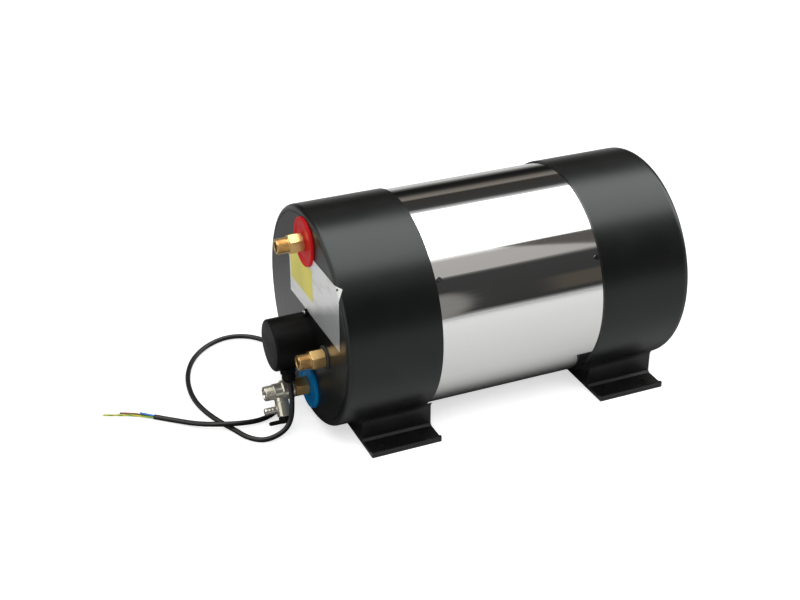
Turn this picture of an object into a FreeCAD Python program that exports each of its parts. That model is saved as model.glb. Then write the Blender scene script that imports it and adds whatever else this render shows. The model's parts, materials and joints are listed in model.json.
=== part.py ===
import FreeCAD, Part
import math
import os
import Sketcher

# Horizontal water heater: a foamed pressure vessel in a polished jacket with two moulded
# end caps, saddle feet, a mains heating element, a coil for engine heat, and a combined
# non-return and relief valve on the cold inlet.
#
# Frame: millimetres, +Z up, the tank axis along X, the fittings face towards -X.
# The origin is on the floor, below the middle of the overall box.
# Most pieces are drawn in the face frame: x from the front face into the tank, y sideways,
# z up from the tank axis. Each finished piece is then moved to its place once.

doc = FreeCAD.newDocument("WaterHeater")
sheet = doc.addObject("Spreadsheet::Sheet", "dim")

SIZES = {
    # casing
    "tank_diameter": 300,
    "tank_length": 500,
    "floor_gap": 6,
    "cap_wall": 2.5,
    "cap_face": 3,
    "front_cap_length": 129,
    "rear_cap_length": 135,
    "front_rim": 6.5,
    "face_groove": 282,
    "face_groove_width": 1.5,
    "face_groove_depth": 1,
    "rear_rim": 12,
    "jacket_wall": 0.8,
    "jacket_overlap": 9,
    "fit_gap": 0.1,
    "rivet_head": 7,
    "rivet_shank": 3.2,
    "rivet_dome": 1.5,
    "rivet_grip": 5,
    "front_rivet_turn": 55,
    "rear_rivet_turn": 60,
    "rivet_inset": 5.5,
    # feet
    "front_foot_start": 38,
    "rear_foot_inset": 17,
    "foot_length": 100,
    "foot_reach": 130,
    "foot_wall_reach": 94,
    "foot_wall": 5,
    "foot_base": 5,
    "foot_lip_height": 8,
    "foot_lip_width": 4,
    "foot_fold": 3,
    "cradle_wall": 5,
    "foot_rib": 4,
    "rib_reach": 60,
    "pocket_inner_reach": 24,
    "foot_hole": 7,
    "foot_hole_reach": 112,
    "foot_hole_pitch": 60,
    "foot_screw": 4.8,
    "foot_screw_head": 9,
    "foot_screw_head_height": 3,
    "foot_screw_length": 14,
    "foot_screw_turn": 17.5,
    "boss_diameter": 12,
    "boss_height": 9,
    # vessel and foam
    "foam_wall": 20,
    "vessel_wall": 1.5,
    "front_setback": 45,
    "rear_setback": 42,
    "dish_radius": 320,
    "foam_gap": 0.3,
    # ports
    "hot_inset": 40,
    "cold_inset": 44,
    "element_rise": 73,
    "coil_spread": 63,
    "flow_rise": 4,
    "return_spread": 56,
    "return_drop": 37,
    "port_thread": 20.955,
    "port_bore": 12,
    "port_thread_depth": 14,
    "socket_diameter": 28,
    "socket_land": 20,
    "socket_entry": 3,
    "hex_flats": 24,
    "hex_length": 20,
    "port_reach": 16,
    "collar_diameter": 66,
    "collar_thickness": 4,
    "seal_diameter": 32,
    "seal_thickness": 2,
    "tube_diameter": 18,
    "tube_wall": 1,
    "coil_setback": 88,
    "diffuser_reach": 120,
    # heating element and thermostat
    "boss_ring_diameter": 56,
    "boss_ring_depth": 18,
    "boss_ring_start": 8,
    "plug_thread": 41.9,
    "plug_flats": 50,
    "plug_head": 12,
    "gasket_thickness": 2,
    "gasket_diameter": 53,
    "element_tube": 8,
    "element_spread": 12,
    "element_reach": 290,
    "element_lead": 20,
    "pocket_diameter": 10,
    "pocket_bore": 8.2,
    "pocket_rise": 14,
    "pocket_reach": 230,
    "sensor_diameter": 8,
    "anode_diameter": 14,
    "anode_stud": 6,
    "anode_drop": 13,
    "anode_reach": 220,
    "thermostat_width": 32,
    "thermostat_height": 22,
    "thermostat_base": 5,
    "thermostat_depth": 27,
    "control_spread": 8,
    "control_rise": 16,
    "knob_diameter": 13,
    "knob_height": 7,
    "knob_shaft": 6,
    "knob_shaft_depth": 8,
    "button_diameter": 6,
    "button_height": 3,
    "button_depth": 8,
    "running_gap": 0.05,
    "block_width": 36,
    "block_height": 18,
    "block_top": 8,
    "block_depth": 16,
    "block_screw": 5,
    "block_pitch": 11,
    # cover, gland and cable
    "cover_diameter": 71,
    "cover_length": 55,
    "cover_wall": 2,
    "cover_end": 3,
    "lug_radius": 5,
    "lug_thickness": 4,
    "lug_reach": 39,
    "lug_screw": 3.5,
    "lug_screw_head": 6.5,
    "lug_screw_length": 12,
    "gland_setback": 36,
    "gland_tilt": 25,
    "gland_thread": 16,
    "gland_flats": 19,
    "gland_hex": 6,
    "gland_nut_diameter": 18,
    "gland_nut_length": 12,
    "gland_bore": 7.2,
    "locknut_flats": 20,
    "locknut_height": 3.5,
    "cable_diameter": 7,
    "core_diameter": 2.6,
    # valve
    "valve_gap": 1,
    "valve_socket": 27,
    "valve_socket_length": 17,
    "valve_barrel": 22,
    "valve_barrel_length": 12,
    "valve_inlet_length": 12,
    "valve_inlet_bore": 9,
    "check_bore": 14,
    "inlet_land": 8,
    "poppet_disc": 11,
    "poppet_disc_height": 2.5,
    "poppet_guide": 6,
    "poppet_lift": 4,
    "spring_wire": 1,
    "check_spring_diameter": 9.4,
    "branch_setback": 44,
    "branch_diameter": 19,
    "branch_drop": 14,
    "relief_seat": 5,
    "bonnet_length": 21,
    "bonnet_bore": 14,
    "bonnet_floor": 3,
    "bonnet_stub": 8,
    "bonnet_stub_length": 3,
    "drain_diameter": 10,
    "drain_bore": 6,
    "drain_drop": 24,
    "drain_shoulder": 12,
    "drain_shoulder_reach": 10,
    "drain_reach": 70,
    "spindle_disc": 11,
    "spindle_disc_height": 2,
    "spindle_rod": 3,
    "relief_lift": 2,
    "relief_spring_diameter": 8.6,
    "lever_hub": 17,
    "lever_height": 9,
    "lever_reach": 23,
    "lever_width": 6,
    "lever_thickness": 6,
    "valve_tilt": 30,
    # data plate
    "plate_thickness": 0.4,
    "plate_left": 64,
    "plate_right_inset": 30,
    "plate_top_inset": 52,
    "plate_height": 89,
    "patch_left": 60,
    "patch_right": 24,
    "patch_inset": 20,
    "patch_height": 46,
}

for row, (alias, size) in enumerate(SIZES.items(), start=1):
    sheet.set(f"A{row}", alias)
    sheet.set(f"B{row}", str(size))
    sheet.setAlias(f"B{row}", alias)
doc.recompute()

# Derived places, as formulas of the sizes above.
RADIUS = "(tank_diameter / 2)"
CAP_INNER = "(tank_diameter / 2 - cap_wall)"
FLOOR = "(0 - tank_diameter / 2 - floor_gap)"
VESSEL = "(tank_diameter - 2 * foam_wall)"
VESSEL_END = "(tank_length - rear_setback)"
DISH_SAG = f"sqrt(dish_radius * dish_radius - {VESSEL} * {VESSEL} / 4)"
FRONT_DISH_CENTRE = f"(front_setback + {DISH_SAG})"
REAR_DISH_CENTRE = f"({VESSEL_END} - {DISH_SAG})"
REAR_CAP_START = "(tank_length - rear_cap_length)"
REAR_FOOT_START = "(tank_length - rear_foot_inset - foot_length)"
HOT_RISE = "(tank_diameter / 2 - hot_inset)"
COLD_DROP = "(tank_diameter / 2 - cold_inset)"
COIL_DROP = f"({COLD_DROP} - element_rise)"
FLOW_Z = f"(flow_rise - {COIL_DROP})"
RETURN_Z = f"(0 - {COIL_DROP} - return_drop)"
COIL_REACH = f"({VESSEL_END} - coil_setback)"
PLATE_RIGHT = "(tank_diameter / 2 - plate_right_inset)"
PLATE_TOP = "(tank_diameter / 2 - plate_top_inset)"
PATCH_TOP = f"({PLATE_TOP} - patch_inset)"
VALVE_JOINT = "(collar_thickness + hex_length + valve_gap)"
VALVE_BARREL_START = f"({VALVE_JOINT} + valve_socket_length)"
VALVE_INLET_START = f"({VALVE_BARREL_START} + valve_barrel_length)"
VALVE_REACH = f"({VALVE_INLET_START} + valve_inlet_length)"
FACE_X = "((drain_reach - tank_length) / 2)"
AXIS_HEIGHT = "(tank_diameter / 2 + floor_gap)"
NIPPLE_END = "(collar_thickness + hex_length + port_reach)"
PLUG_FACE = "(boss_ring_start - gasket_thickness - plug_head)"

IDENTITY = FreeCAD.Rotation()
TURN_TO = {
    "X": FreeCAD.Rotation(FreeCAD.Vector(0, 1, 0), 90),
    "Y": FreeCAD.Rotation(FreeCAD.Vector(1, 0, 0), -90),
    "Z": IDENTITY,
}
X_AXIS = FreeCAD.Vector(1, 0, 0)
Z_AXIS = FreeCAD.Vector(0, 0, 1)
nodes = []
sizes_by_length = sorted(SIZES, key=len, reverse=True)


# Expressions

def bound(formula):
    """A formula of size names, written for the sheet."""
    words = []
    word = ""
    for letter in str(formula) + " ":
        if letter.isalnum() or letter in "_.":
            word += letter
        else:
            words.append("dim." + word if word in SIZES else word)
            words.append(letter)
            word = ""
    return "".join(words).strip()


ruler = doc.addObject("Part::Vertex", "ruler")


def measured(formula):
    """The present value of a formula of size names."""
    ruler.setExpression("X", bound(formula))
    ruler.recompute()
    return ruler.X.Value


def place(piece, x="0", y="0", z="0", rotation=IDENTITY):
    piece.Placement = FreeCAD.Placement(FreeCAD.Vector(0, 0, 0), rotation)
    piece.setExpression("Placement.Base.x", bound(x))
    piece.setExpression("Placement.Base.y", bound(y))
    piece.setExpression("Placement.Base.z", bound(z))
    return piece


# Primitives

def cylinder(name, diameter, length, x="0", y="0", z="0", along="X"):
    piece = doc.addObject("Part::Cylinder", name)
    piece.setExpression("Radius", bound(f"({diameter}) / 2"))
    piece.setExpression("Height", bound(length))
    return place(piece, x, y, z, TURN_TO[along])


def hexagon(name, flats, length, x="0", y="0", z="0", along="X"):
    piece = doc.addObject("Part::Prism", name)
    piece.Polygon = 6
    piece.setExpression("Circumradius", bound(f"({flats}) / sqrt(3)"))
    piece.setExpression("Height", bound(length))
    return place(piece, x, y, z, TURN_TO[along])


def box(name, lengths, corner):
    piece = doc.addObject("Part::Box", name)
    for side, length in zip(("Length", "Width", "Height"), lengths):
        piece.setExpression(side, bound(length))
    return place(piece, *corner)


def sphere(name, radius, x="0", y="0", z="0"):
    piece = doc.addObject("Part::Sphere", name)
    piece.setExpression("Radius", bound(radius))
    return place(piece, x, y, z)


def fuse(name, *pieces):
    whole = doc.addObject("Part::MultiFuse", name)
    whole.Shapes = list(pieces)
    return whole


def cut(name, base, *tools):
    whole = doc.addObject("Part::Cut", name)
    whole.Base = base
    whole.Tool = tools[0] if len(tools) == 1 else fuse(f"{name}_tools", *tools)
    return whole


def common(name, *pieces):
    whole = doc.addObject("Part::MultiCommon", name)
    whole.Shapes = list(pieces)
    return whole


def held(name, *pieces):
    """Pieces kept together, so that they can be turned or moved as one."""
    group = doc.addObject("Part::Compound", name)
    group.Links = list(pieces)
    return group


def ring(name, outer, inner, length, x="0", y="0", z="0", along="X"):
    rim = cylinder(f"{name}_rim", outer, length, x, y, z, along)
    bore = cylinder(f"{name}_bore", inner, length, x, y, z, along)
    return cut(name, rim, bore)


def turned(piece, formula, axis=X_AXIS):
    """Turn a piece about an axis through the origin of the face frame."""
    piece.Placement = FreeCAD.Placement(FreeCAD.Vector(0, 0, 0), FreeCAD.Rotation(axis, 30))
    piece.setExpression("Placement.Rotation.Angle", bound(formula))
    return piece


def node(label, piece, x="0", y="0", z="0"):
    """Name a finished piece and move it from the face frame to its place."""
    piece.Label = label
    piece.setExpression("Placement.Base.x", bound(f"{FACE_X} + ({x})"))
    piece.setExpression("Placement.Base.y", bound(y))
    piece.setExpression("Placement.Base.z", bound(f"{AXIS_HEIGHT} + ({z})"))
    nodes.append(piece)
    return piece


# Sketched bodies

def body_plane(body, role):
    return [item for item in body.Origin.OriginFeatures if item.Role == role][0]


def outline(body, name, role, corners):
    """A closed outline of straight lines whose corners are bound to the sheet."""
    sketch = body.newObject("Sketcher::SketchObject", name)
    sketch.AttachmentSupport = [(body_plane(body, role), "")]
    sketch.MapMode = "FlatFace"
    spots = [FreeCAD.Vector(measured(across), measured(up), 0) for across, up in corners]
    for index, spot in enumerate(spots):
        following = spots[(index + 1) % len(spots)]
        sketch.addGeometry(Part.LineSegment(spot, following), False)
    for index in range(len(spots)):
        following = (index + 1) % len(spots)
        sketch.addConstraint(Sketcher.Constraint("Coincident", index, 2, following, 1))
    for index, (across, up) in enumerate(corners):
        for kind, formula, line in (("DistanceX", across, -2), ("DistanceY", up, -1)):
            if formula == "0":
                sketch.addConstraint(Sketcher.Constraint("PointOnObject", index, 1, line))
                continue
            value = measured(formula)
            number = sketch.addConstraint(Sketcher.Constraint(kind, -1, 1, index, 1, value))
            sketch.setExpression(f"Constraints[{number}]", bound(formula))
    return sketch


def revolved(name, corners):
    """A body turned about X from an outline of (x, radius) corners."""
    body = doc.addObject("PartDesign::Body", name)
    sketch = outline(body, f"{name}_outline", "XZ_Plane", corners)
    turn = body.newObject("PartDesign::Revolution", f"{name}_turn")
    turn.Profile = sketch
    turn.ReferenceAxis = (sketch, ["H_Axis"])
    turn.Angle = 360
    body.Tip = turn
    doc.recompute()
    return body


def extruded(name, corners, length):
    """A body pushed along X from an outline of (y, z) corners."""
    body = doc.addObject("PartDesign::Body", name)
    sketch = outline(body, f"{name}_outline", "YZ_Plane", corners)
    pad = body.newObject("PartDesign::Pad", f"{name}_pad")
    pad.Profile = sketch
    pad.setExpression("Length", bound(length))
    body.Tip = pad
    doc.recompute()
    return body


def rounded(body, name, x, radius, size):
    """Round the circular edge of a body at a place along X."""
    base = body.Tip
    wanted = (measured(x), measured(radius))
    names = []
    for index, edge in enumerate(base.Shape.Edges, start=1):
        if isinstance(edge.Curve, Part.Circle):
            spot = (edge.Curve.Center.x, edge.Curve.Radius)
            if all(abs(a - b) < 0.01 for a, b in zip(spot, wanted)):
                names.append(f"Edge{index}")
    fillet = body.newObject("PartDesign::Fillet", name)
    fillet.Base = (base, names)
    fillet.setExpression("Radius", bound(size))
    body.Tip = fillet
    doc.recompute()


# Casing

def screw_bosses(name, diameter, start_x):
    """Bosses inside a cap, where the screws of one foot bite."""
    bosses = []
    for part, share in enumerate(("foot_length / 4", "foot_length * 3 / 4")):
        for side, sign in enumerate(("", "0 - ")):
            boss = cylinder(f"{name}_boss{part}{side}", diameter, "boss_height",
                            f"{start_x} + {share}", "0", f"0 - {CAP_INNER} - 0.5", "Z")
            bosses.append(turned(held(f"{name}_holder{part}{side}", boss),
                                 f"{sign}foot_screw_turn"))
    return bosses


def make_front_cap():
    shell = revolved("front_shell", [
        ("0", "0"),
        ("0", RADIUS),
        ("front_cap_length", RADIUS),
        ("front_cap_length", CAP_INNER),
        ("cap_face", CAP_INNER),
        ("cap_face", "0"),
    ])
    rounded(shell, "front_rim_round", "0", RADIUS, "front_rim")
    bosses = screw_bosses("front_cap", "boss_diameter", "front_foot_start")
    whole = fuse("front_cap_whole", shell, *bosses)
    hole = "port_thread + 1"
    depth = "cap_face * 3"
    start = "0 - cap_face"
    holes = [
        cylinder("cap_hot_hole", hole, depth, start, "0", HOT_RISE),
        cylinder("cap_cold_hole", hole, depth, start, "0", f"0 - {COLD_DROP}"),
        cylinder("cap_flow_hole", hole, depth, start, "0 - coil_spread", FLOW_Z),
        cylinder("cap_return_hole", hole, depth, start, "return_spread", RETURN_Z),
        cylinder("cap_element_hole", "boss_ring_diameter + 4", depth, start, "0",
                 f"0 - {COIL_DROP}"),
        ring("cap_face_groove", "face_groove + face_groove_width", "face_groove",
             "2 * face_groove_depth", "0 - face_groove_depth"),
    ]
    holes += lug_spots("cap_lug_hole", "lug_screw", depth, start)
    holes += screw_shanks("front_cap", "front_foot_start")
    node("front_cap", cut("front_cap_cut", whole, *holes))


def make_rear_cap():
    shell = revolved("rear_shell", [
        (REAR_CAP_START, RADIUS),
        ("tank_length", RADIUS),
        ("tank_length", "0"),
        ("tank_length - cap_face", "0"),
        ("tank_length - cap_face", CAP_INNER),
        (REAR_CAP_START, CAP_INNER),
    ])
    rounded(shell, "rear_inner_round", "tank_length - cap_face", CAP_INNER, "rear_rim - cap_face")
    rounded(shell, "rear_rim_round", "tank_length", RADIUS, "rear_rim")
    whole = fuse("rear_cap_whole", shell,
                 *screw_bosses("rear_cap", "boss_diameter", REAR_FOOT_START))
    node("rear_cap", cut("rear_cap_cut", whole, *screw_shanks("rear_cap", REAR_FOOT_START)))


def make_jacket():
    start = "front_cap_length - jacket_overlap"
    length = f"{REAR_CAP_START} - front_cap_length + 2 * jacket_overlap"
    jacket = ring("jacket_sheet", f"2 * {CAP_INNER}", f"2 * {CAP_INNER} - 2 * jacket_wall",
                  length, start)
    node("outer_jacket", cut("jacket_cut", jacket, *rivet_set("jacket_hole", True)))


def rivet_set(name, holes_only=False):
    """Rivets beside both caps, on each side of the tank."""
    pieces = []
    ends = (("front_cap_length + rivet_inset", "front_rivet_turn"),
            (f"{REAR_CAP_START} - rivet_inset", "rear_rivet_turn"))
    for end, (x, turn) in enumerate(ends):
        for side, sign in enumerate(("", "0 - ")):
            tag = f"{name}{end}{side}"
            start = f"{CAP_INNER} - rivet_grip"
            if holes_only:
                rivet = held(tag, cylinder(f"{tag}_way", "rivet_shank", "2 * rivet_grip",
                                           x, "0", start, "Z"))
            else:
                shank = cylinder(f"{tag}_shank", "rivet_shank", "rivet_grip", x, "0", start, "Z")
                head = cylinder(f"{tag}_head", "rivet_head", "rivet_dome", x, "0", CAP_INNER, "Z")
                rivet = fuse(tag, shank, head)
            pieces.append(turned(rivet, f"{sign}{turn}"))
    return pieces


def screw_shanks(name, start_x):
    """The screws of one foot, seen from the cap and the foot as holes."""
    shanks = []
    for part, share in enumerate(("foot_length / 4", "foot_length * 3 / 4")):
        for side, sign in enumerate(("", "0 - ")):
            tag = f"{name}_way{part}{side}"
            x = f"{start_x} + {share}"
            seat = f"0 - {RADIUS} - cradle_wall"
            shank = cylinder(f"{tag}_shank", "foot_screw", "foot_screw_length", x, "0", seat, "Z")
            shanks.append(turned(held(tag, shank), f"{sign}foot_screw_turn"))
    return shanks


def make_foot_screws():
    screws = []
    for foot, start_x in enumerate(("front_foot_start", REAR_FOOT_START)):
        for part, share in enumerate(("foot_length / 4", "foot_length * 3 / 4")):
            for side, sign in enumerate(("", "0 - ")):
                tag = f"foot_screw{foot}{part}{side}"
                x = f"{start_x} + {share}"
                seat = f"0 - {RADIUS} - cradle_wall"
                shank = cylinder(f"{tag}_shank", "foot_screw", "foot_screw_length",
                                 x, "0", seat, "Z")
                head = cylinder(f"{tag}_head", "foot_screw_head", "foot_screw_head_height",
                                x, "0", f"{seat} - foot_screw_head_height", "Z")
                screws.append(turned(fuse(tag, shank, head), f"{sign}foot_screw_turn"))
    node("foot_screws", fuse("foot_screw_set", *screws))


def make_foot(label, start_x):
    wall_top = f"({FLOOR} + foot_base + foot_wall_reach / 2)"
    right = [
        ("foot_reach", FLOOR),
        ("foot_reach", f"{FLOOR} + foot_lip_height"),
        ("foot_reach - foot_lip_width", f"{FLOOR} + foot_lip_height"),
        ("foot_reach - foot_lip_width - foot_fold", f"{FLOOR} + foot_base"),
        ("foot_wall_reach + foot_fold", f"{FLOOR} + foot_base"),
        ("foot_wall_reach", f"{FLOOR} + foot_base + foot_fold"),
        ("foot_wall_reach", wall_top),
    ]
    left = [(f"0 - ({across})", up) for across, up in reversed(right)]
    block = extruded(f"{label}_block", right + left, "foot_length")
    place(block, start_x)
    seat = cylinder(f"{label}_seat", f"2 * {RADIUS}", "tank_length", "0")
    saddle = cut(f"{label}_saddle", block, seat)
    cells = []
    inner_wall = "(foot_wall_reach - foot_wall)"
    outer_cell = f"({inner_wall} - rib_reach)"
    inner_cell = "(rib_reach - foot_rib - pocket_inner_reach)"
    cell_length = "(foot_length - 2 * foot_wall - foot_rib) / 2"
    for row, x in enumerate(("foot_wall", f"foot_wall + foot_rib + {cell_length}")):
        for width, near in ((outer_cell, "rib_reach"), (inner_cell, "pocket_inner_reach")):
            for y in (near, f"0 - ({near}) - {width}"):
                cells.append(box(f"{label}_cell", (cell_length, width, "foot_wall_reach"),
                                 (f"{start_x} + {x}", y, f"{FLOOR} - 1")))
    cradle = cylinder(f"{label}_cradle", f"2 * {RADIUS} + 2 * cradle_wall", "tank_length", "0")
    pockets = cut(f"{label}_pockets", fuse(f"{label}_cells", *cells), cradle)
    holes = []
    for end in ("0 - foot_hole_pitch / 2", "foot_hole_pitch / 2"):
        for y in ("foot_hole_reach", "0 - foot_hole_reach"):
            holes.append(cylinder(f"{label}_hole", "foot_hole", "foot_lip_height * 2",
                                  f"{start_x} + foot_length / 2 + {end}", y, f"{FLOOR} - 1", "Z"))
    node(label, cut(f"{label}_cut", saddle, pockets, *holes, *screw_shanks(label, start_x)))


# Vessel and foam

def dish(name, centre, start, length):
    """One dished head: a slice of a spherical shell."""
    shell = cut(f"{name}_shell", sphere(f"{name}_outer", "dish_radius", centre),
                sphere(f"{name}_inner", "dish_radius - vessel_wall", centre))
    slug = cylinder(f"{name}_slug", VESSEL, length, start)
    return common(f"{name}_dish", shell, slug)


def port_list():
    """Name, y and z of the four threaded ports in the face frame."""
    return [
        ("hot", "0", HOT_RISE),
        ("cold", "0", f"0 - {COLD_DROP}"),
        ("flow", "0 - coil_spread", FLOW_Z),
        ("return", "return_spread", RETURN_Z),
    ]


def dish_depth(y, z):
    """How far behind the face the front head lies at a port."""
    return (f"({FRONT_DISH_CENTRE} - sqrt(dish_radius * dish_radius"
            f" - ({y}) * ({y}) - ({z}) * ({z})))")


def make_vessel():
    node("tank_shell", ring("vessel_tube", VESSEL, f"{VESSEL} - 2 * vessel_wall",
                            f"{VESSEL_END} - front_setback", "front_setback"))
    head = dish("front_head", FRONT_DISH_CENTRE, "0", "front_setback")
    holes = []
    for name, y, z in port_list():
        holes.append(cylinder(f"head_{name}_hole", "socket_diameter", "front_setback", "0", y, z))
    holes.append(cylinder("head_boss_hole", "boss_ring_diameter", "front_setback", "0", "0",
                          f"0 - {COIL_DROP}"))
    node("front_head", cut("front_head_cut", head, *holes))
    node("rear_head", dish("rear_head", REAR_DISH_CENTRE, VESSEL_END, "rear_setback"))


def make_sockets():
    sockets = []
    for name, y, z in port_list():
        length = f"{dish_depth(y, z)} + 3 * vessel_wall - socket_entry"
        body = cylinder(f"{name}_socket_body", "socket_diameter", length, "socket_entry", y, z)
        thread = cylinder(f"{name}_socket_thread", "port_thread + fit_gap",
                          "port_thread_depth + fit_gap", "0", y, z)
        way = cylinder(f"{name}_socket_way", "tube_diameter + fit_gap", "tank_length", "0", y, z)
        sockets.append(cut(f"{name}_socket", body, thread, way))
    node("port_sockets", fuse("port_socket_set", *sockets))


def make_foam():
    outer = f"2 * {CAP_INNER} - 2 * jacket_wall - 2 * foam_gap"
    hollow = f"{VESSEL} + 2 * foam_gap"
    bosses = screw_bosses("foam_front", "boss_diameter + 1", "front_foot_start")
    bosses += screw_bosses("foam_rear", "boss_diameter + 1", REAR_FOOT_START)
    rivets = rivet_set("foam_hole", True)
    shell = ring("foam_tube", outer, hollow, f"{VESSEL_END} - front_setback", "front_setback")
    node("insulation_shell", cut("foam_tube_cut", shell, *bosses, *rivets))

    slab = cylinder("front_foam_slab", outer, "front_setback - cap_face", "cap_face")
    dome = sphere("front_foam_dome", "dish_radius + foam_gap", FRONT_DISH_CENTRE)
    ways = [cylinder(f"front_foam_{name}", "socket_diameter + 2 * foam_gap", "tank_length",
                     "0", y, z) for name, y, z in port_list()]
    ways.append(cylinder("front_foam_boss", "boss_ring_diameter + 4", "tank_length", "0", "0",
                         f"0 - {COIL_DROP}"))
    ways += lug_spots("front_foam_lug", "lug_screw + 1", "front_setback", "0")
    node("front_insulation", cut("front_foam_cut", slab, dome, *ways))

    slab = cylinder("rear_foam_slab", outer, "rear_setback - rear_rim", VESSEL_END)
    end = cylinder("rear_foam_end", f"{outer} - 2 * rear_rim", "rear_setback - cap_face",
                   VESSEL_END)
    dome = sphere("rear_foam_dome", "dish_radius + foam_gap", REAR_DISH_CENTRE)
    bosses = screw_bosses("foam_end", "boss_diameter + 1", REAR_FOOT_START)
    node("rear_insulation", cut("rear_foam_cut", fuse("rear_foam", slab, end), dome, *bosses))


# Ports and pipes

def make_nipple(label, y, z, seat):
    """A brass nipple: a male spigot, a hexagon, and a thread into its socket."""
    start = f"0 - {seat} - hex_length - port_reach"
    body = fuse(
        f"{label}_body",
        cylinder(f"{label}_spigot", "port_thread", "port_reach", start, y, z),
        hexagon(f"{label}_hexagon", "hex_flats", "hex_length", f"0 - {seat} - hex_length", y, z),
        cylinder(f"{label}_thread", "port_thread", f"{seat} + port_thread_depth",
                 f"0 - {seat}", y, z),
    )
    bore = cylinder(f"{label}_bore", "port_bore", "tank_length", start, y, z)
    node(label, cut(f"{label}_cut", body, bore))


def make_ports():
    inner = "port_thread + 2 * fit_gap"
    for label, z in (("hot_collar", HOT_RISE), ("cold_collar", f"0 - {COLD_DROP}")):
        node(label, ring(f"{label}_ring", "collar_diameter", inner, "collar_thickness",
                         "0 - collar_thickness", "0", z))
    seals = [ring(f"seal_{name}", "seal_diameter", inner, "seal_thickness",
                  "0 - seal_thickness", y, z) for name, y, z in port_list()[2:]]
    node("coil_seals", fuse("coil_seal_set", *seals))
    make_nipple("hot_nipple", "0", HOT_RISE, "collar_thickness")
    make_nipple("cold_nipple", "0", f"0 - {COLD_DROP}", "collar_thickness")
    make_nipple("coil_flow_nipple", "0 - coil_spread", FLOW_Z, "seal_thickness")
    make_nipple("coil_return_nipple", "return_spread", RETURN_Z, "seal_thickness")


def make_hairpin(name, diameter, spread, start, reach, z):
    """Two straight legs along X joined by a half turn."""
    turn = doc.addObject("Part::Torus", f"{name}_bend")
    turn.setExpression("Radius1", bound(spread))
    turn.setExpression("Radius2", bound(f"({diameter}) / 2"))
    turn.Angle3 = 180
    place(turn, reach, "0", z, FreeCAD.Rotation(Z_AXIS, -90))
    length = f"({reach}) - ({start})"
    legs = [cylinder(f"{name}_leg", diameter, length, start, y, z)
            for y in (spread, f"0 - ({spread})")]
    return fuse(f"{name}_run", turn, *legs)


def make_coil():
    """One hairpin of tube between the coil ports, leaning with the line that joins them."""
    start = "port_thread_depth + 2 * fit_gap"
    across = "(coil_spread + return_spread)"
    drop = "(flow_rise + return_drop)"
    half = f"(sqrt({across} * {across} + {drop} * {drop}) / 2)"
    outside = make_hairpin("coil", "tube_diameter", half, start, COIL_REACH, "0")
    inside = make_hairpin("coil_bore", "tube_diameter - 2 * tube_wall", half, start, COIL_REACH,
                          "0")
    coil = turned(cut("coil_cut", outside, inside), f"-1 * atan({drop} / {across})")
    node("heat_exchanger_coil", coil, y="(return_spread - coil_spread) / 2",
         z=f"{FLOW_Z} - {drop} / 2")


def make_diffuser():
    start = "port_thread_depth + 2 * fit_gap"
    z = f"0 - {COLD_DROP}"
    tube = cylinder("diffuser_tube", "tube_diameter", f"diffuser_reach - ({start})", start, "0", z)
    bore = cylinder("diffuser_bore", "tube_diameter - 2 * tube_wall",
                    f"diffuser_reach - tube_wall - ({start})", start, "0", z)
    slots = []
    for share in ("1 / 2", "3 / 4"):
        slots.append(box("diffuser_slot", ("tube_diameter / 4", "tube_diameter * 2",
                                           "tube_diameter / 4"),
                         (f"diffuser_reach * {share}", "0 - tube_diameter", z)))
    node("inlet_diffuser", cut("diffuser_cut", tube, bore, *slots))


# Heating element, thermostat and terminals

def make_element():
    z = f"0 - {COIL_DROP}"
    node("element_boss", ring("boss_ring", "boss_ring_diameter", "plug_thread + fit_gap",
                              "boss_ring_depth", "boss_ring_start", "0", z))
    node("element_gasket", ring("gasket_ring", "gasket_diameter", "plug_thread + fit_gap",
                                "gasket_thickness", "boss_ring_start - gasket_thickness", "0", z))
    plug_length = "plug_head + gasket_thickness + boss_ring_depth"
    head = hexagon("plug_hexagon", "plug_flats", "plug_head", PLUG_FACE, "0", z)
    thread = cylinder("plug_thread_body", "plug_thread", plug_length, PLUG_FACE, "0", z)
    leg_hole = "element_tube"
    ways = [cylinder("plug_leg_hole", leg_hole, "tank_length", "0 - cover_length", y, z)
            for y in ("element_spread", "0 - element_spread")]
    ways.append(cylinder("plug_pocket_hole", "pocket_diameter", "tank_length",
                         "0 - cover_length", "0", f"{z} + pocket_rise"))
    stud_start = f"{PLUG_FACE} + plug_head"
    ways.append(cylinder("plug_stud_hole", "anode_stud", "tank_length", stud_start, "0",
                         f"{z} - anode_drop"))
    node("element_plug", cut("plug_cut", fuse("plug_body", head, thread), *ways))

    node("heating_element", make_hairpin("element", "element_tube", "element_spread",
                                         "0 - element_lead", "element_reach - element_spread", z))
    inner_face = f"({PLUG_FACE} + {plug_length})"
    rod = cylinder("anode_body", "anode_diameter", f"anode_reach - {inner_face}", inner_face,
                   "0", f"{z} - anode_drop")
    stud = cylinder("anode_stud_body", "anode_stud", f"anode_reach - ({stud_start})", stud_start,
                    "0", f"{z} - anode_drop")
    node("anode_rod", fuse("anode_whole", rod, stud))

    pocket = cylinder("pocket_tube", "pocket_diameter", f"pocket_reach - {PLUG_FACE}",
                      PLUG_FACE, "0", f"{z} + pocket_rise")
    bore = cylinder("pocket_way", "pocket_bore", f"pocket_reach - tube_wall - {PLUG_FACE}",
                    PLUG_FACE, "0", f"{z} + pocket_rise")
    node("sensor_pocket", cut("pocket_cut", pocket, bore))
    sensor = cylinder("sensor_rod", "sensor_diameter",
                      f"pocket_reach - 3 * tube_wall - {PLUG_FACE}")
    node("thermostat_sensor", sensor, x=PLUG_FACE, z=f"{z} + pocket_rise")


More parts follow.
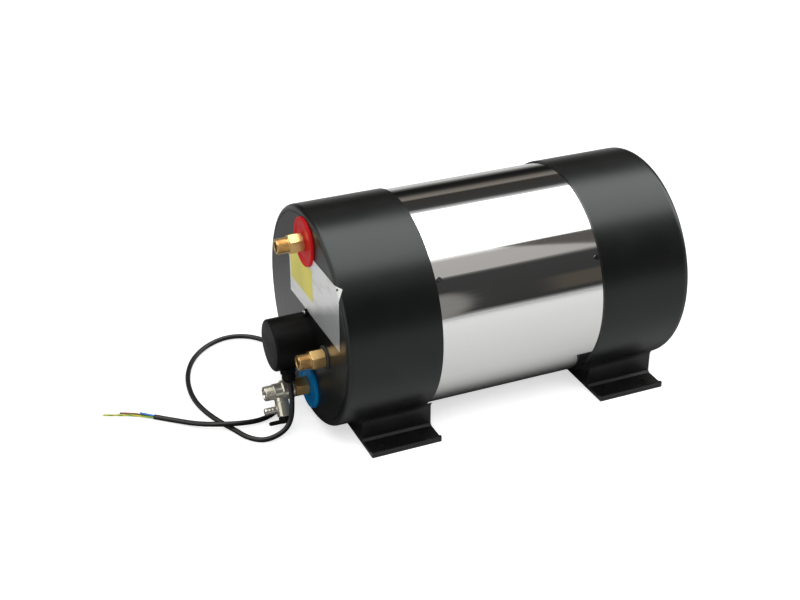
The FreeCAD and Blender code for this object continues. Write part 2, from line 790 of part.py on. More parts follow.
def make_controls():
    """Thermostat with its setting knob and reset button, and the terminal block."""
    front = f"({PLUG_FACE} - thermostat_depth)"
    knob_y = "0 - control_spread"
    body = box("thermostat_box", ("thermostat_depth", "thermostat_width", "thermostat_height"),
               (front, "0 - thermostat_width / 2", "thermostat_base"))
    shaft_hole = cylinder("thermostat_shaft_hole", "knob_shaft + 2 * running_gap",
                          "knob_shaft_depth + 1", front, knob_y, "control_rise")
    button_hole = cylinder("thermostat_button_hole", "button_diameter + 2 * running_gap",
                           "button_depth + button_height", front, "control_spread",
                           "control_rise")
    node("thermostat_body", cut("thermostat_cut", body, shaft_hole, button_hole),
         z=f"0 - {COIL_DROP}")

    grip = cylinder("knob_grip", "knob_diameter", "knob_height",
                    f"{front} - foam_gap - knob_height", knob_y, "control_rise")
    shaft = cylinder("knob_shaft_body", "knob_shaft", "knob_height + knob_shaft_depth",
                     f"{front} - foam_gap - knob_height", knob_y, "control_rise")
    slot = box("knob_slot", ("knob_height / 3", "knob_diameter", "knob_height / 5"),
               (f"{front} - foam_gap - knob_height - 1", f"{knob_y} - knob_diameter / 2",
                "control_rise - knob_height / 10"))
    node("thermostat_knob", cut("knob_cut", fuse("knob_body", grip, shaft), slot),
         z=f"0 - {COIL_DROP}")
    button = cylinder("button_body", "button_diameter", "button_depth + button_height")
    node("reset_button", button, x=f"{front} - button_height", y="control_spread",
         z=f"control_rise - {COIL_DROP}")

    block_front = f"({PLUG_FACE} - block_depth)"
    block = box("block_body", ("block_depth", "block_width", "block_height"),
                (block_front, "0 - block_width / 2", "0 - block_top - block_height"))
    wells = []
    screws = []
    for index, y in enumerate(("0 - block_pitch", "0", "block_pitch")):
        middle = "0 - block_top - block_height / 2"
        wells.append(cylinder(f"block_well{index}", "block_screw + 2 * fit_gap",
                              "block_depth / 2", block_front, y, middle))
        head = cylinder(f"block_screw{index}", "block_screw", "block_depth / 3",
                        f"{block_front} + block_depth / 6", y, middle)
        slot = box(f"block_slot{index}", ("1", "block_screw", "0.8"),
                   (f"{block_front} + block_depth / 6", f"{y} - block_screw / 2",
                    f"{middle} - 0.4"))
        screws.append(cut(f"block_screw_cut{index}", head, slot))
    node("terminal_block", cut("block_cut", block, *wells), z=f"0 - {COIL_DROP}")
    node("terminal_screws", fuse("terminal_screw_set", *screws), z=f"0 - {COIL_DROP}")


# Cover, gland and cable

def lug_spots(name, diameter, length, x):
    """The three screw places round the cover, in the face frame."""
    spots = (("0", "lug_reach"), ("0 - lug_reach * cos(30)", "0 - lug_reach / 2"),
             ("lug_reach * cos(30)", "0 - lug_reach / 2"))
    return [cylinder(f"{name}{index}", diameter, length, x, y, f"0 - {COIL_DROP} + ({rise})")
            for index, (y, rise) in enumerate(spots)]


def make_cover():
    z = f"0 - {COIL_DROP}"
    cup = cylinder("cover_cup", "cover_diameter", "cover_length", "0 - cover_length", "0", z)
    lugs = lug_spots("cover_lug", "2 * lug_radius", "lug_thickness", "0 - lug_thickness")
    hollow = cylinder("cover_hollow", "cover_diameter - 2 * cover_wall",
                      "cover_length - cover_end", "cover_end - cover_length", "0", z)
    screw_ways = lug_spots("cover_way", "lug_screw", "lug_thickness", "0 - lug_thickness")
    gland_way = cylinder("cover_gland_way", "gland_thread + 2 * fit_gap", "cover_diameter",
                         "0 - gland_setback", "0", "0 - cover_diameter", "Z")
    way = turned(held("cover_gland_hole", gland_way), "0 - gland_tilt")
    way.setExpression("Placement.Base.z", bound(z))
    shell = cut("cover_cut", fuse("cover_body", cup, *lugs), hollow, way, *screw_ways)
    node("element_cover", shell)
    shanks = lug_spots("cover_screw", "lug_screw", "lug_screw_length", "0 - lug_thickness")
    heads = lug_spots("cover_screw_head", "lug_screw_head", "lug_thickness / 2",
                      "0 - lug_thickness * 3 / 2")
    node("cover_screws", fuse("cover_screw_set", *shanks, *heads))


def tilted(label, piece):
    """Set a piece of the gland square to the side of the cover."""
    turned(piece, "0 - gland_tilt")
    return node(label, piece, x="0 - gland_setback", z=f"0 - {COIL_DROP}")


def make_gland():
    """The gland hangs from the cover; its own frame has the cover's middle as origin."""
    skin = "(cover_diameter / 2)"
    body_end = f"({skin} + gland_hex)"
    nut_end = f"({body_end} + gland_nut_length)"
    inner = f"({skin} - cover_wall - locknut_height - 2)"
    collar = hexagon("gland_collar", "gland_flats", "gland_hex", "0", "0",
                     f"0 - {body_end}", "Z")
    thread = cylinder("gland_thread_body", "gland_thread", f"{body_end} - {inner}", "0", "0",
                      f"0 - {body_end}", "Z")
    bore = cylinder("gland_way", "gland_bore", "2 * cover_diameter", "0", "0",
                    "0 - 2 * cover_diameter", "Z")
    tilted("gland_body", cut("gland_cut", fuse("gland_whole", collar, thread), bore))

    dome = cylinder("gland_dome", "gland_nut_diameter", "gland_nut_length * 2 / 3", "0", "0",
                    f"0 - {body_end} - gland_nut_length * 2 / 3", "Z")
    nose = doc.addObject("Part::Cone", "gland_nose")
    nose.setExpression("Radius1", bound("cable_diameter / 2 + 2"))
    nose.setExpression("Radius2", bound("gland_nut_diameter / 2"))
    nose.setExpression("Height", bound("gland_nut_length / 3"))
    place(nose, "0", "0", f"0 - {nut_end}")
    bore = cylinder("gland_nut_way", "gland_bore", "2 * cover_diameter", "0", "0",
                    "0 - 2 * cover_diameter", "Z")
    tilted("gland_nut", cut("gland_nut_cut", fuse("gland_nut_body", dome, nose), bore))

    hollow = f"({skin} - cover_wall)"
    ring_top = f"0 - sqrt({hollow} * {hollow} - locknut_flats * locknut_flats / 3)"
    nut = hexagon("locknut_hexagon", "locknut_flats", "locknut_height", "0", "0", ring_top, "Z")
    way = cylinder("locknut_way", "gland_thread", "2 * locknut_height", "0", "0",
                   f"{ring_top} - locknut_height / 2", "Z")
    tilted("gland_locknut", cut("locknut_cut", nut, way))
    sheath = cylinder("cable_tail_sheath", "cable_diameter", f"{nut_end} - {inner} + 4", "0",
                      "0", f"0 - {nut_end}", "Z")
    cores = [cylinder("cable_tail_core", "core_diameter", f"{nut_end} - {inner} + 12", "0", y,
                      f"0 - {nut_end}", "Z") for y in ("0 - core_diameter / 2 - fit_gap",
                                                       "core_diameter / 2 + fit_gap")]
    tilted("cable_tail", fuse("cable_tail_whole", sheath, *cores))


def gland_exit():
    """Where the cable leaves the gland, and the way it points, in the part's frame."""
    reach = measured("cover_diameter / 2 + gland_hex + gland_nut_length")
    tilt = math.radians(measured("gland_tilt"))
    way = FreeCAD.Vector(0, -math.sin(tilt), -math.cos(tilt))
    middle = FreeCAD.Vector(measured(f"{FACE_X} - gland_setback"), 0,
                            measured(f"{AXIS_HEIGHT} - {COIL_DROP}"))
    return middle + way * reach, way


def tube_along(points, diameter):
    """A round tube along straight runs joined by tangent arcs; also the least radius."""
    edges = []
    least = 1e9
    here = points[0]
    for before, corner, after in zip(points, points[1:], points[2:]):
        inward = (corner - before).normalize()
        outward = (after - corner).normalize()
        turn = inward.getAngle(outward)
        shorter = min((corner - before).Length, (after - corner).Length)
        setback = 0.45 * shorter
        radius = setback / math.tan(turn / 2)
        least = min(least, radius)
        start = corner - inward * setback
        end = corner + outward * setback
        bisector = (outward - inward).normalize()
        centre = corner + bisector * (radius / math.cos(turn / 2))
        middle = centre - bisector * radius
        edges.append(Part.LineSegment(here, start).toShape())
        edges.append(Part.Arc(start, middle, end).toShape())
        here = end
    edges.append(Part.LineSegment(here, points[-1]).toShape())
    path = Part.Wire(edges)
    direction = (points[1] - points[0]).normalize()
    circle = Part.Wire([Part.makeCircle(diameter / 2, points[0], direction)])
    tube = path.makePipeShell([circle], True, False)
    expected = math.pi * diameter * diameter / 4 * path.Length
    print(f"tube: length {path.Length:.1f}, least radius {least:.1f}, "
          f"volume share {tube.Volume / expected:.4f}")
    return tube


# The mains cable after the gland, in millimetres: x from the face, y sideways, z from the floor.
# It drops to the floor, goes round once under the fittings, and its end lies over its start.
CABLE_ROUTE = [
    (-38, -34, 46), (-41, -37, 25), (-52, -38.5, 9.5), (-79, -41, 3.7), (-99, -25, 3.7),
    (-110, 2, 3.7), (-123, 29, 3.7), (-133, 58, 3.7), (-139, 90, 3.7), (-138, 123, 3.7),
    (-132, 155, 3.7), (-120, 186, 3.7), (-102, 213, 3.7), (-77, 234, 3.7), (-46, 245, 3.7),
    (-16, 236, 3.7), (6, 211, 3.7), (13, 179, 3.7), (9, 146, 3.7), (0, 114, 3.7),
    (-10, 84, 3.7), (-22, 53, 3.7), (-38, 24, 3.7), (-66, 9, 3.7), (-98, 1, 11),
    (-131, 9, 13), (-155, 31, 7), (-176, 54, 3.7), (-201, 75, 3.7),
]

# Each bared core: its place in the sheath (sideways, up), and where it goes after that.
CORE_ROUTES = {
    "core_blue": ((0, 1.7), 6, [(-217, 89, 5.6)]),
    "core_brown": ((-1.5, -0.9), 10, [(-228, 99, 2.2), (-242, 106, 1.5)]),
    "core_earth": ((1.5, -0.9), 10, [(-226, 93, 1.6), (-245, 102, 1.5), (-264, 110, 1.5)]),
}


def make_cable():
    face = FreeCAD.Vector(measured(FACE_X), 0, 0)
    leaves, way = gland_exit()
    route = [leaves, leaves + way * 13] + [face + FreeCAD.Vector(*spot) for spot in CABLE_ROUTE]
    cable = doc.addObject("Part::Feature", "mains_cable")
    cable.Shape = tube_along(route, measured("cable_diameter"))
    cable.Label = "mains_cable"
    nodes.append(cable)
    end = route[-1]
    onward = (end - route[-2]).normalize()
    sideways = FreeCAD.Vector(-onward.y, onward.x, 0)
    for label, ((aside, up), straight, spots) in CORE_ROUTES.items():
        start = end + sideways * aside + FreeCAD.Vector(0, 0, up)
        core_route = [start, start + onward * straight]
        core_route += [face + FreeCAD.Vector(*spot) for spot in spots]
        core = doc.addObject("Part::Feature", label)
        core.Shape = tube_along(core_route, measured("core_diameter"))
        core.Label = label
        nodes.append(core)


# Inlet valve

def spring(name, diameter, length, turns, x="0", y="0", z="0", along="X"):
    """A compression spring whose wire starts at the given place."""
    spine = doc.addObject("Part::Helix", f"{name}_helix")
    spine.setExpression("Radius", bound(f"({diameter}) / 2"))
    spine.setExpression("Height", bound(length))
    spine.setExpression("Pitch", bound(f"({length}) / {turns}"))
    wire = doc.addObject("Part::Circle", f"{name}_wire")
    wire.setExpression("Radius", bound("spring_wire / 2"))
    wire.Placement = FreeCAD.Placement(FreeCAD.Vector(0, 0, 0),
                                       FreeCAD.Rotation(FreeCAD.Vector(1, 0, 0), 90))
    wire.setExpression("Placement.Base.x", bound(f"({diameter}) / 2"))
    sweep = doc.addObject("Part::Sweep", name)
    doc.recompute()
    sweep.Sections = [wire]
    sweep.Spine = (spine, [f"Edge{index + 1}" for index in range(len(spine.Shape.Edges))])
    sweep.Solid = True
    sweep.Frenet = True
    sweep.Placement = FreeCAD.Placement(FreeCAD.Vector(0, 0, 0), TURN_TO[along])
    return sweep


def leaning(label, piece, x="0"):
    """Lean a piece of the valve sideways about the valve's own axis."""
    turned(piece, "0 - valve_tilt")
    return node(label, piece, x=x, z=f"0 - {COLD_DROP}")


def make_valve():
    z = f"0 - {COLD_DROP}"
    socket = cylinder("valve_socket_body", "valve_socket", "valve_socket_length",
                      f"0 - {VALVE_BARREL_START}")
    barrel = cylinder("valve_barrel_body", "valve_barrel", "valve_barrel_length",
                      f"0 - {VALVE_INLET_START}")
    inlet = cylinder("valve_inlet_body", "port_thread", "valve_inlet_length",
                     f"0 - {VALVE_REACH}")
    branch = cylinder("valve_branch_body", "branch_diameter", "branch_drop",
                      "0 - branch_setback", "0", "0 - branch_drop", "Z")
    socket_way = cylinder("valve_socket_way", "port_thread + fit_gap", "tank_length",
                          f"0 - {NIPPLE_END} - 1")
    chamber = cylinder("valve_chamber", "check_bore", "tank_length",
                       f"inlet_land - {VALVE_REACH}")
    way = cylinder("valve_way", "valve_inlet_bore", "tank_length", f"0 - {VALVE_REACH}")
    seat = cylinder("valve_relief_way", "relief_seat", "branch_drop", "0 - branch_setback", "0",
                    "0 - branch_drop", "Z")
    leaning("valve_body", cut("valve_cut", fuse("valve_whole", socket, barrel, inlet, branch),
                              socket_way, chamber, way, seat))

    seat_x = f"(inlet_land - {VALVE_REACH} + foam_gap)"
    disc = cylinder("poppet_disc_body", "poppet_disc", "poppet_disc_height", seat_x)
    guide = doc.addObject("Part::Prism", "poppet_guide_body")
    guide.Polygon = 6
    guide.setExpression("Circumradius", bound("check_bore / 2 - running_gap"))
    guide.setExpression("Height", bound("poppet_guide"))
    place(guide, f"{seat_x} + poppet_disc_height", "0", "0", TURN_TO["X"])
    node("check_poppet", fuse("poppet_whole", disc, guide), z=z)

    poppet_back = f"({seat_x} + poppet_disc_height + poppet_guide)"
    room = f"(0 - {NIPPLE_END} - {poppet_back})"
    coil = spring("check_spring_coil", "check_spring_diameter",
                  f"{room} - spring_wire - 2 * foam_gap", 4)
    node("check_spring", coil, x=f"{poppet_back} + spring_wire / 2 + foam_gap", z=z)


def make_relief():
    """Relief bonnet, spindle, spring and lever, drawn about the branch axis."""
    bonnet_end = "(branch_drop + bonnet_length)"
    shell = cylinder("bonnet_shell", "branch_diameter", "bonnet_length", "0", "0",
                     f"0 - {bonnet_end}", "Z")
    stub = cylinder("bonnet_stub_body", "bonnet_stub", "bonnet_stub_length + bonnet_floor", "0",
                    "0", f"0 - {bonnet_end} - bonnet_stub_length", "Z")
    drain = cylinder("drain_body", "drain_diameter", "drain_reach - branch_setback",
                     "branch_setback - drain_reach", "0", "0 - drain_drop")
    shoulder = cylinder("drain_shoulder_body", "drain_shoulder", "drain_shoulder_reach",
                        "0 - drain_shoulder_reach", "0", "0 - drain_drop")
    chamber = cylinder("bonnet_chamber", "bonnet_bore", "bonnet_length - bonnet_floor", "0", "0",
                       f"0 - {bonnet_end} + bonnet_floor", "Z")
    drain_way = cylinder("drain_way", "drain_bore", "drain_reach - branch_setback",
                         "branch_setback - drain_reach", "0", "0 - drain_drop")
    rod_way = cylinder("bonnet_rod_way", "spindle_rod + 2 * running_gap", "2 * bonnet_length",
                       "0", "0", "0 - 3 * bonnet_length", "Z")
    branch_x = "0 - branch_setback"
    whole = fuse("bonnet_whole", shell, stub, drain, shoulder)
    leaning("relief_bonnet", cut("bonnet_cut", whole, chamber, drain_way, rod_way), branch_x)

    seat_z = "(0 - branch_drop - foam_gap)"
    lever_top = f"(0 - {bonnet_end} - foam_gap)"
    lever_bottom = f"({lever_top} - lever_height)"
    disc = cylinder("spindle_disc_body", "spindle_disc", "spindle_disc_height", "0", "0",
                    f"{seat_z} - spindle_disc_height", "Z")
    rod = cylinder("spindle_rod_body", "spindle_rod",
                   f"{seat_z} - {lever_bottom} - relief_lift - foam_gap", "0", "0",
                   f"{lever_bottom} + relief_lift + foam_gap", "Z")
    leaning("relief_spindle", fuse("spindle_whole", disc, rod), branch_x)

    spring_top = f"({seat_z} - spindle_disc_height)"
    room = f"({spring_top} + {bonnet_end} - bonnet_floor)"
    coil = spring("relief_spring_coil", "relief_spring_diameter",
                  f"{room} - spring_wire - 2 * foam_gap", 5, along="Z")
    coil.setExpression("Placement.Base.z", bound(
        f"0 - {bonnet_end} + bonnet_floor + spring_wire / 2 + foam_gap"))
    leaning("relief_spring", held("relief_spring_coils", coil), branch_x)

    hub = cylinder("lever_hub_body", "lever_hub", "lever_height", "0", "0", lever_bottom, "Z")
    arm = box("lever_arm", ("lever_reach", "lever_width", "lever_thickness"),
              ("0 - lever_reach", "0 - lever_width / 2",
               lever_bottom))
    bearing = cylinder("lever_bearing", "bonnet_stub + 2 * running_gap",
                       "bonnet_stub_length + foam_gap", "0", "0",
                       f"{lever_top} - bonnet_stub_length", "Z")
    rod_way = cylinder("lever_rod_way", "spindle_rod + 2 * running_gap", "2 * lever_height", "0",
                       "0", f"{lever_bottom} - lever_height / 2", "Z")
    lever = cut("lever_cut", fuse("lever_body", hub, arm), bearing, rod_way)
    leaning("relief_lever", lever, branch_x)


# Plate

def make_plate():
    """The bare data plate on the face and the blank patch on it."""
    plate = box("plate_sheet", ("plate_thickness", f"plate_left + {PLATE_RIGHT}",
                                "plate_height"),
                ("0 - plate_thickness", f"0 - {PLATE_RIGHT}", f"{PLATE_TOP} - plate_height"))
    port_gap = cylinder("plate_collar_gap", "collar_diameter + 1", "1",
                        "0 - 1", "0", HOT_RISE)
    cover_gap = cylinder("plate_cover_gap", "cover_diameter + 1", "1", "0 - 1", "0",
                         f"0 - {COIL_DROP}")
    lug_gaps = lug_spots("plate_lug_gap", "2 * lug_radius + 1", "1", "0 - 1")
    node("rating_plate", cut("plate_cut", plate, port_gap, cover_gap, *lug_gaps))
    node("plate_patch", cut("patch_cut", box("patch_sheet", (
        "plate_thickness / 2", "patch_left + patch_right", "patch_height"),
        ("0 - plate_thickness * 3 / 2", "0 - patch_right", f"{PATCH_TOP} - patch_height")),
        cylinder("patch_collar_gap", "collar_diameter + 1", "2", "0 - 2", "0", HOT_RISE)))


make_front_cap()
make_rear_cap()
make_jacket()
node("jacket_rivets", fuse("jacket_rivet_set", *rivet_set("jacket_rivet")))
make_foot("front_foot", "front_foot_start")
make_foot("rear_foot", REAR_FOOT_START)
make_foot_screws()
make_vessel()
make_sockets()
make_foam()
make_ports()
make_coil()
make_diffuser()
make_element()
make_controls()
make_cover()
make_gland()
make_cable()
make_valve()
make_relief()
make_plate()
doc.recompute()

failed = [item.Name for item in doc.Objects
          if "Invalid" in item.State or "Error" in item.State]
if failed:
    raise RuntimeError("failed objects: " + ", ".join(failed))
for piece in nodes:
    if piece.Shape.isNull() or not piece.Shape.isValid() or not piece.Shape.Solids:
        raise RuntimeError("bad shape: " + piece.Label)

os.makedirs("parts", exist_ok=True)
for piece in nodes:
    piece.Shape.exportStep(f"parts/{piece.Label}.step")
whole = Part.makeCompound([piece.Shape for piece in nodes])
print(len(nodes), "nodes, box", whole.BoundBox)
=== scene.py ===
import json
import math

import bpy
from mathutils import Matrix, Vector


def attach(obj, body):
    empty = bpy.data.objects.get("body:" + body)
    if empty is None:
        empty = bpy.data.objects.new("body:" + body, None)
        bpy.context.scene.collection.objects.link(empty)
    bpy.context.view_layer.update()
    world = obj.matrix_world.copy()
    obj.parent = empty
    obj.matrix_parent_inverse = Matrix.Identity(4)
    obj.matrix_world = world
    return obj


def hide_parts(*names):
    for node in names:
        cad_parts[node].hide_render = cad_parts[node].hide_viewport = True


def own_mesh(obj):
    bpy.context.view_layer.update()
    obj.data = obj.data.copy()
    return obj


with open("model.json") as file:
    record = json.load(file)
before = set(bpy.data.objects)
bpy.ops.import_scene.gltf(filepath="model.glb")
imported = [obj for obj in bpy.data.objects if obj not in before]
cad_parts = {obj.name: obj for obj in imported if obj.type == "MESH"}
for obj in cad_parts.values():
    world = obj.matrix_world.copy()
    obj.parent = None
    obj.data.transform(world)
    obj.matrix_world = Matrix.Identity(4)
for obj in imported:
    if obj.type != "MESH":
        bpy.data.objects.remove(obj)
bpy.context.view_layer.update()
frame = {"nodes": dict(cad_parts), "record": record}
scene = bpy.context.scene

MM = 0.001
X_AXIS = Vector((1, 0, 0))
Z_AXIS = Vector((0, 0, 1))
OUTWARD = Vector((-1, 0, 0))

# Sizes in millimetres and angles in degrees, as in the part. The face frame has x from the fittings
# face into the tank, y sideways and z up from the tank's axis.
FACE_X = -215
AXIS_Z = 156
TANK_RADIUS = 150
HOT_RISE = 110
COLD_DROP = 106
COIL_DROP = 33
COIL_SPREAD = 63
FLOW_RISE = 4
RETURN_SPREAD = 56
RETURN_DROP = 37
PIPE_THREAD = 20.955
PORT_REACH = 16
PORT_RADIUS = 6
HEX_FLATS = 24
HEX_LENGTH = 20
SEAL_THICKNESS = 2
COLLAR_THICKNESS = 4
COLLAR_RADIUS = 33
COVER_RADIUS = 35.5
COVER_LENGTH = 55
COVER_WALL = 2
LUG_REACH = 39
LUG_RADIUS = 5
LUG_THICKNESS = 4
GLAND_SETBACK = 36
GLAND_TILT = 25
GLAND_FLATS = 19
GLAND_END = 53.5
VALVE_TILT = 30
BRANCH_SETBACK = 44
FRONT_FOOT_START = 38
REAR_FOOT_START = 383
FOOT_LENGTH = 100
FOOT_WALL_REACH = 94
CABLE_DIAMETER = 7
CORE_DIAMETER = 2.6

FACE_CENTRE = Vector((FACE_X, 0, AXIS_Z))


# Geometry helpers

def spot(x, y, z):
    """A place in the face frame, in metres in the row frame."""
    return (FACE_CENTRE + Vector((x, y, z))) * MM


def floor_spot(x, y, z):
    """A place with x from the face and z from the floor, in metres in the row frame."""
    return Vector((FACE_X + x, y, z)) * MM


def down_way(tilt):
    """Down, and sideways towards the camera by a tilt in degrees."""
    turn = math.radians(tilt)
    return Vector((0, -math.sin(turn), -math.cos(turn)))


def axis_frame(origin, direction, up=Z_AXIS):
    """A frame in metres whose local X runs along direction, for forms drawn in millimetres."""
    along = Vector(direction).normalized()
    side = up.cross(along)
    side.normalize()
    top = along.cross(side)
    turn = Matrix((along, side, top)).transposed().to_4x4()
    return Matrix.Translation(origin) @ turn @ Matrix.Scale(MM, 4)


def add_mesh(name, points, faces, material, smooth_angle=35):
    mesh = bpy.data.meshes.new(name)
    mesh.from_pydata([tuple(point) for point in points], [], faces)
    mesh.validate()
    mesh.shade_smooth()
    mesh.set_sharp_from_angle(angle=math.radians(smooth_angle))
    piece = bpy.data.objects.new(name, mesh)
    scene.collection.objects.link(piece)
    piece.data.materials.append(material)
    return piece


def turned_form(name, rings, place, material, segments, closed):
    """A form turned about local X. A ring is (x, radius) or (x, radius as a function of angle)."""
    points = []
    for x, radius in rings:
        for step in range(segments):
            angle = 2 * math.pi * step / segments
            r = radius(angle) if callable(radius) else radius
            points.append(place @ Vector((x, -r * math.sin(angle), r * math.cos(angle))))
    faces = []
    last = len(rings) if closed else len(rings) - 1
    for index in range(last):
        start = index * segments
        onward = ((index + 1) % len(rings)) * segments
        for step in range(segments):
            following = (step + 1) % segments
            faces.append((start + step, onward + step, onward + following, start + following))
    if not closed:
        faces.append(tuple(range(segments)))
        faces.append(tuple(reversed(range(last * segments, (last + 1) * segments))))
    return add_mesh(name, points, faces, material)


def arc_rings(x, radius, size, start, end, steps=6):
    """Rings along a rounded edge, about a middle at (x, radius), between two angles in degrees."""
    rings = []
    for step in range(steps + 1):
        angle = math.radians(start + (end - start) * step / steps)
        rings.append((x + size * math.cos(angle), radius + size * math.sin(angle)))
    return rings


HEX_CHAMFER_DEPTHS = (0, 0.4, 0.8, 1.2, 1.8)
HEX_CHAMFER_SLOPE = 1.73
HEX_FACE_SHARE = 0.95


def hex_rings(start, end, flats):
    """Rings of a hexagon with chamfered corners, corners up and down."""
    def side(depth):
        limit = HEX_FACE_SHARE * flats / 2 + depth * HEX_CHAMFER_SLOPE

        def radius(angle):
            turn = angle % (math.pi / 3) - math.pi / 6
            return min(flats / 2 / math.cos(turn), limit)
        return radius
    rings = [(start + depth, side(depth)) for depth in HEX_CHAMFER_DEPTHS]
    rings += [(end - depth, side(depth)) for depth in reversed(HEX_CHAMFER_DEPTHS)]
    return rings


PIPE_PITCH = 1.814
PIPE_DEPTH = 1.1
THREAD_CHAMFER = 0.9
THREAD_RUNOUT = 0.6
RINGS_PER_TURN = 8


def thread_rings(start, end):
    """Rings of the pipe thread, with a chamfer at its start, that fades at both ends."""
    def wave(x):
        run = min(1.0, (x - start) / PIPE_PITCH, (end - x) / (THREAD_RUNOUT * PIPE_PITCH))
        chamfer = max(0.0, 1.0 - (x - start) / PIPE_PITCH) * THREAD_CHAMFER

        def radius(angle):
            phase = (x / PIPE_PITCH - angle / (2 * math.pi)) % 1.0
            ridge = abs(2 * phase - 1)
            return PIPE_THREAD / 2 - chamfer - PIPE_DEPTH * run * (1 - ridge)
        return radius
    count = int((end - start) / PIPE_PITCH * RINGS_PER_TURN)
    places = [start + (end - start) * step / count for step in range(count + 1)]
    return [(x, wave(x)) for x in places]


def own(piece, body, slot, *nodes):
    """Let a piece ride on a body and stand for the nodes it replaces. Its slot is not used."""
    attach(piece, body)
    if nodes:
        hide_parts(*nodes)


def turned_piece(name, rings, place, slot, segments, *nodes, body="heater", closed=True):
    """A turned form in a slot's material, on a body, that stands for the nodes it replaces."""
    piece = turned_form(name, rings, place, MATERIALS[slot], segments, closed)
    own(piece, body, slot, *nodes)


# Node helpers

# Where a noise's values mostly lie.
NOISE_LOW = 0.3
NOISE_HIGH = 0.7


def new_material(name):
    material = bpy.data.materials.new(name)
    material.use_nodes = True
    shader = material.node_tree.nodes["Principled BSDF"]
    return material, material.node_tree, shader


def feed(tree, socket, value):
    """Link a socket to another one, or set it to a plain number or colour."""
    if isinstance(value, bpy.types.NodeSocket):
        tree.links.new(value, socket)
    elif isinstance(value, tuple):
        socket.default_value = (*value, 1)
    else:
        socket.default_value = value


def split_place(tree, kind="Object"):
    """The X, Y and Z sockets of a texture coordinate."""
    place = tree.nodes.new("ShaderNodeTexCoord")
    parts = tree.nodes.new("ShaderNodeSeparateXYZ")
    tree.links.new(place.outputs[kind], parts.inputs["Vector"])
    return parts.outputs


def noise(tree, scale, detail=3, stretch=(1, 1, 1)):
    """A noise over the row frame, in metres."""
    place = tree.nodes.new("ShaderNodeTexCoord")
    mapping = tree.nodes.new("ShaderNodeMapping")
    mapping.inputs["Scale"].default_value = stretch
    tree.links.new(place.outputs["Object"], mapping.inputs["Vector"])
    texture = tree.nodes.new("ShaderNodeTexNoise")
    texture.inputs["Scale"].default_value = scale
    texture.inputs["Detail"].default_value = detail
    tree.links.new(mapping.outputs["Vector"], texture.inputs["Vector"])
    return texture.outputs["Fac"]


def ranged(tree, source, start, end, low=0.0, high=1.0):
    """A value that goes from low to high as its source goes from start to end."""
    item = tree.nodes.new("ShaderNodeMapRange")
    item.inputs["From Min"].default_value = start
    item.inputs["From Max"].default_value = end
    item.inputs["To Min"].default_value = low
    item.inputs["To Max"].default_value = high
    tree.links.new(source, item.inputs["Value"])
    return item.outputs["Result"]


def spread(tree, source, low, high, socket):
    """Drive a socket from a noise, between two values."""
    tree.links.new(ranged(tree, source, NOISE_LOW, NOISE_HIGH, low, high), socket)


def ramped(tree, source, stops):
    """A colour by a value, through stops of (position, colour)."""
    item = tree.nodes.new("ShaderNodeValToRGB")
    elements = item.color_ramp.elements
    while len(elements) < len(stops):
        elements.new(0.5)
    for element, (position, colour) in zip(elements, stops):
        element.position = position
        element.color = (*colour, 1)
    tree.links.new(source, item.inputs["Fac"])
    return item.outputs["Color"]


def tint(tree, source, dark, light, socket):
    """Drive a colour from a noise, between two colours."""
    tree.links.new(ramped(tree, source, ((NOISE_LOW, dark), (NOISE_HIGH, light))), socket)


def bump(tree, source, shader, strength, distance):
    item = tree.nodes.new("ShaderNodeBump")
    item.inputs["Strength"].default_value = strength
    item.inputs["Distance"].default_value = distance
    tree.links.new(source, item.inputs["Height"])
    tree.links.new(item.outputs["Normal"], shader.inputs["Normal"])


def reckon(tree, operation, *values, clamp=False):
    """A math node on sockets or plain numbers."""
    item = tree.nodes.new("ShaderNodeMath")
    item.operation = operation
    item.use_clamp = clamp
    for socket, value in zip(item.inputs, values):
        feed(tree, socket, value)
    return item.outputs[0]


def square_sum(tree, first, second):
    """The sum of two values' squares."""
    return reckon(tree, "ADD", reckon(tree, "POWER", first, 2), reckon(tree, "POWER", second, 2))


def mixed(tree, factor, under, over):
    """A colour laid over another by a factor."""
    item = tree.nodes.new("ShaderNodeMix")
    item.data_type = "RGBA"
    feed(tree, item.inputs["Factor"], factor)
    feed(tree, item.inputs["A"], under)
    feed(tree, item.inputs["B"], over)
    return item.outputs["Result"]


# Materials

# How much broader the patches of tone are than the grain, the share by which their roughness
# varies, and the strength of the grain's bump.
PATCH_BREADTH = 25
ROUGHNESS_VARY = 0.12
GRAIN_STRENGTH = 0.35


def surface(name, colour, roughness, metallic=0.0, grain=900, depth=0.00004, vary=0.12,
            stretch=(1, 1, 1), gloss=0.5):
    """A surface with a fine grain, and colour and gloss that vary a little."""
    material, tree, shader = new_material(name)
    shader.inputs["Metallic"].default_value = metallic
    shader.inputs["Specular IOR Level"].default_value = gloss
    dark = [channel * (1 - vary) for channel in colour]
    light = [min(1, channel * (1 + vary)) for channel in colour]
    broad = noise(tree, grain / PATCH_BREADTH, 4)
    tint(tree, broad, dark, light, shader.inputs["Base Color"])
    spread(tree, broad, roughness * (1 - ROUGHNESS_VARY), roughness * (1 + ROUGHNESS_VARY),
           shader.inputs["Roughness"])
    fine = noise(tree, grain, 2, stretch)
    bump(tree, fine, shader, GRAIN_STRENGTH, depth)
    return material


def jacket_material():
    """Polished steel sheet: nearly a mirror, with faint rolling marks and long shallow waves."""
    material, tree, shader = new_material("jacket_steel")
    shader.inputs["Metallic"].default_value = 1.0
    shader.inputs["Base Color"].default_value = (0.72, 0.72, 0.71, 1)
    marks = noise(tree, 40, 3, (0.6, 14, 14))
    spread(tree, marks, 0.035, 0.06, shader.inputs["Roughness"])
    waves = noise(tree, 5, 1, (1, 1.4, 1.4))
    bump(tree, waves, shader, 0.10, 0.004)
    return material


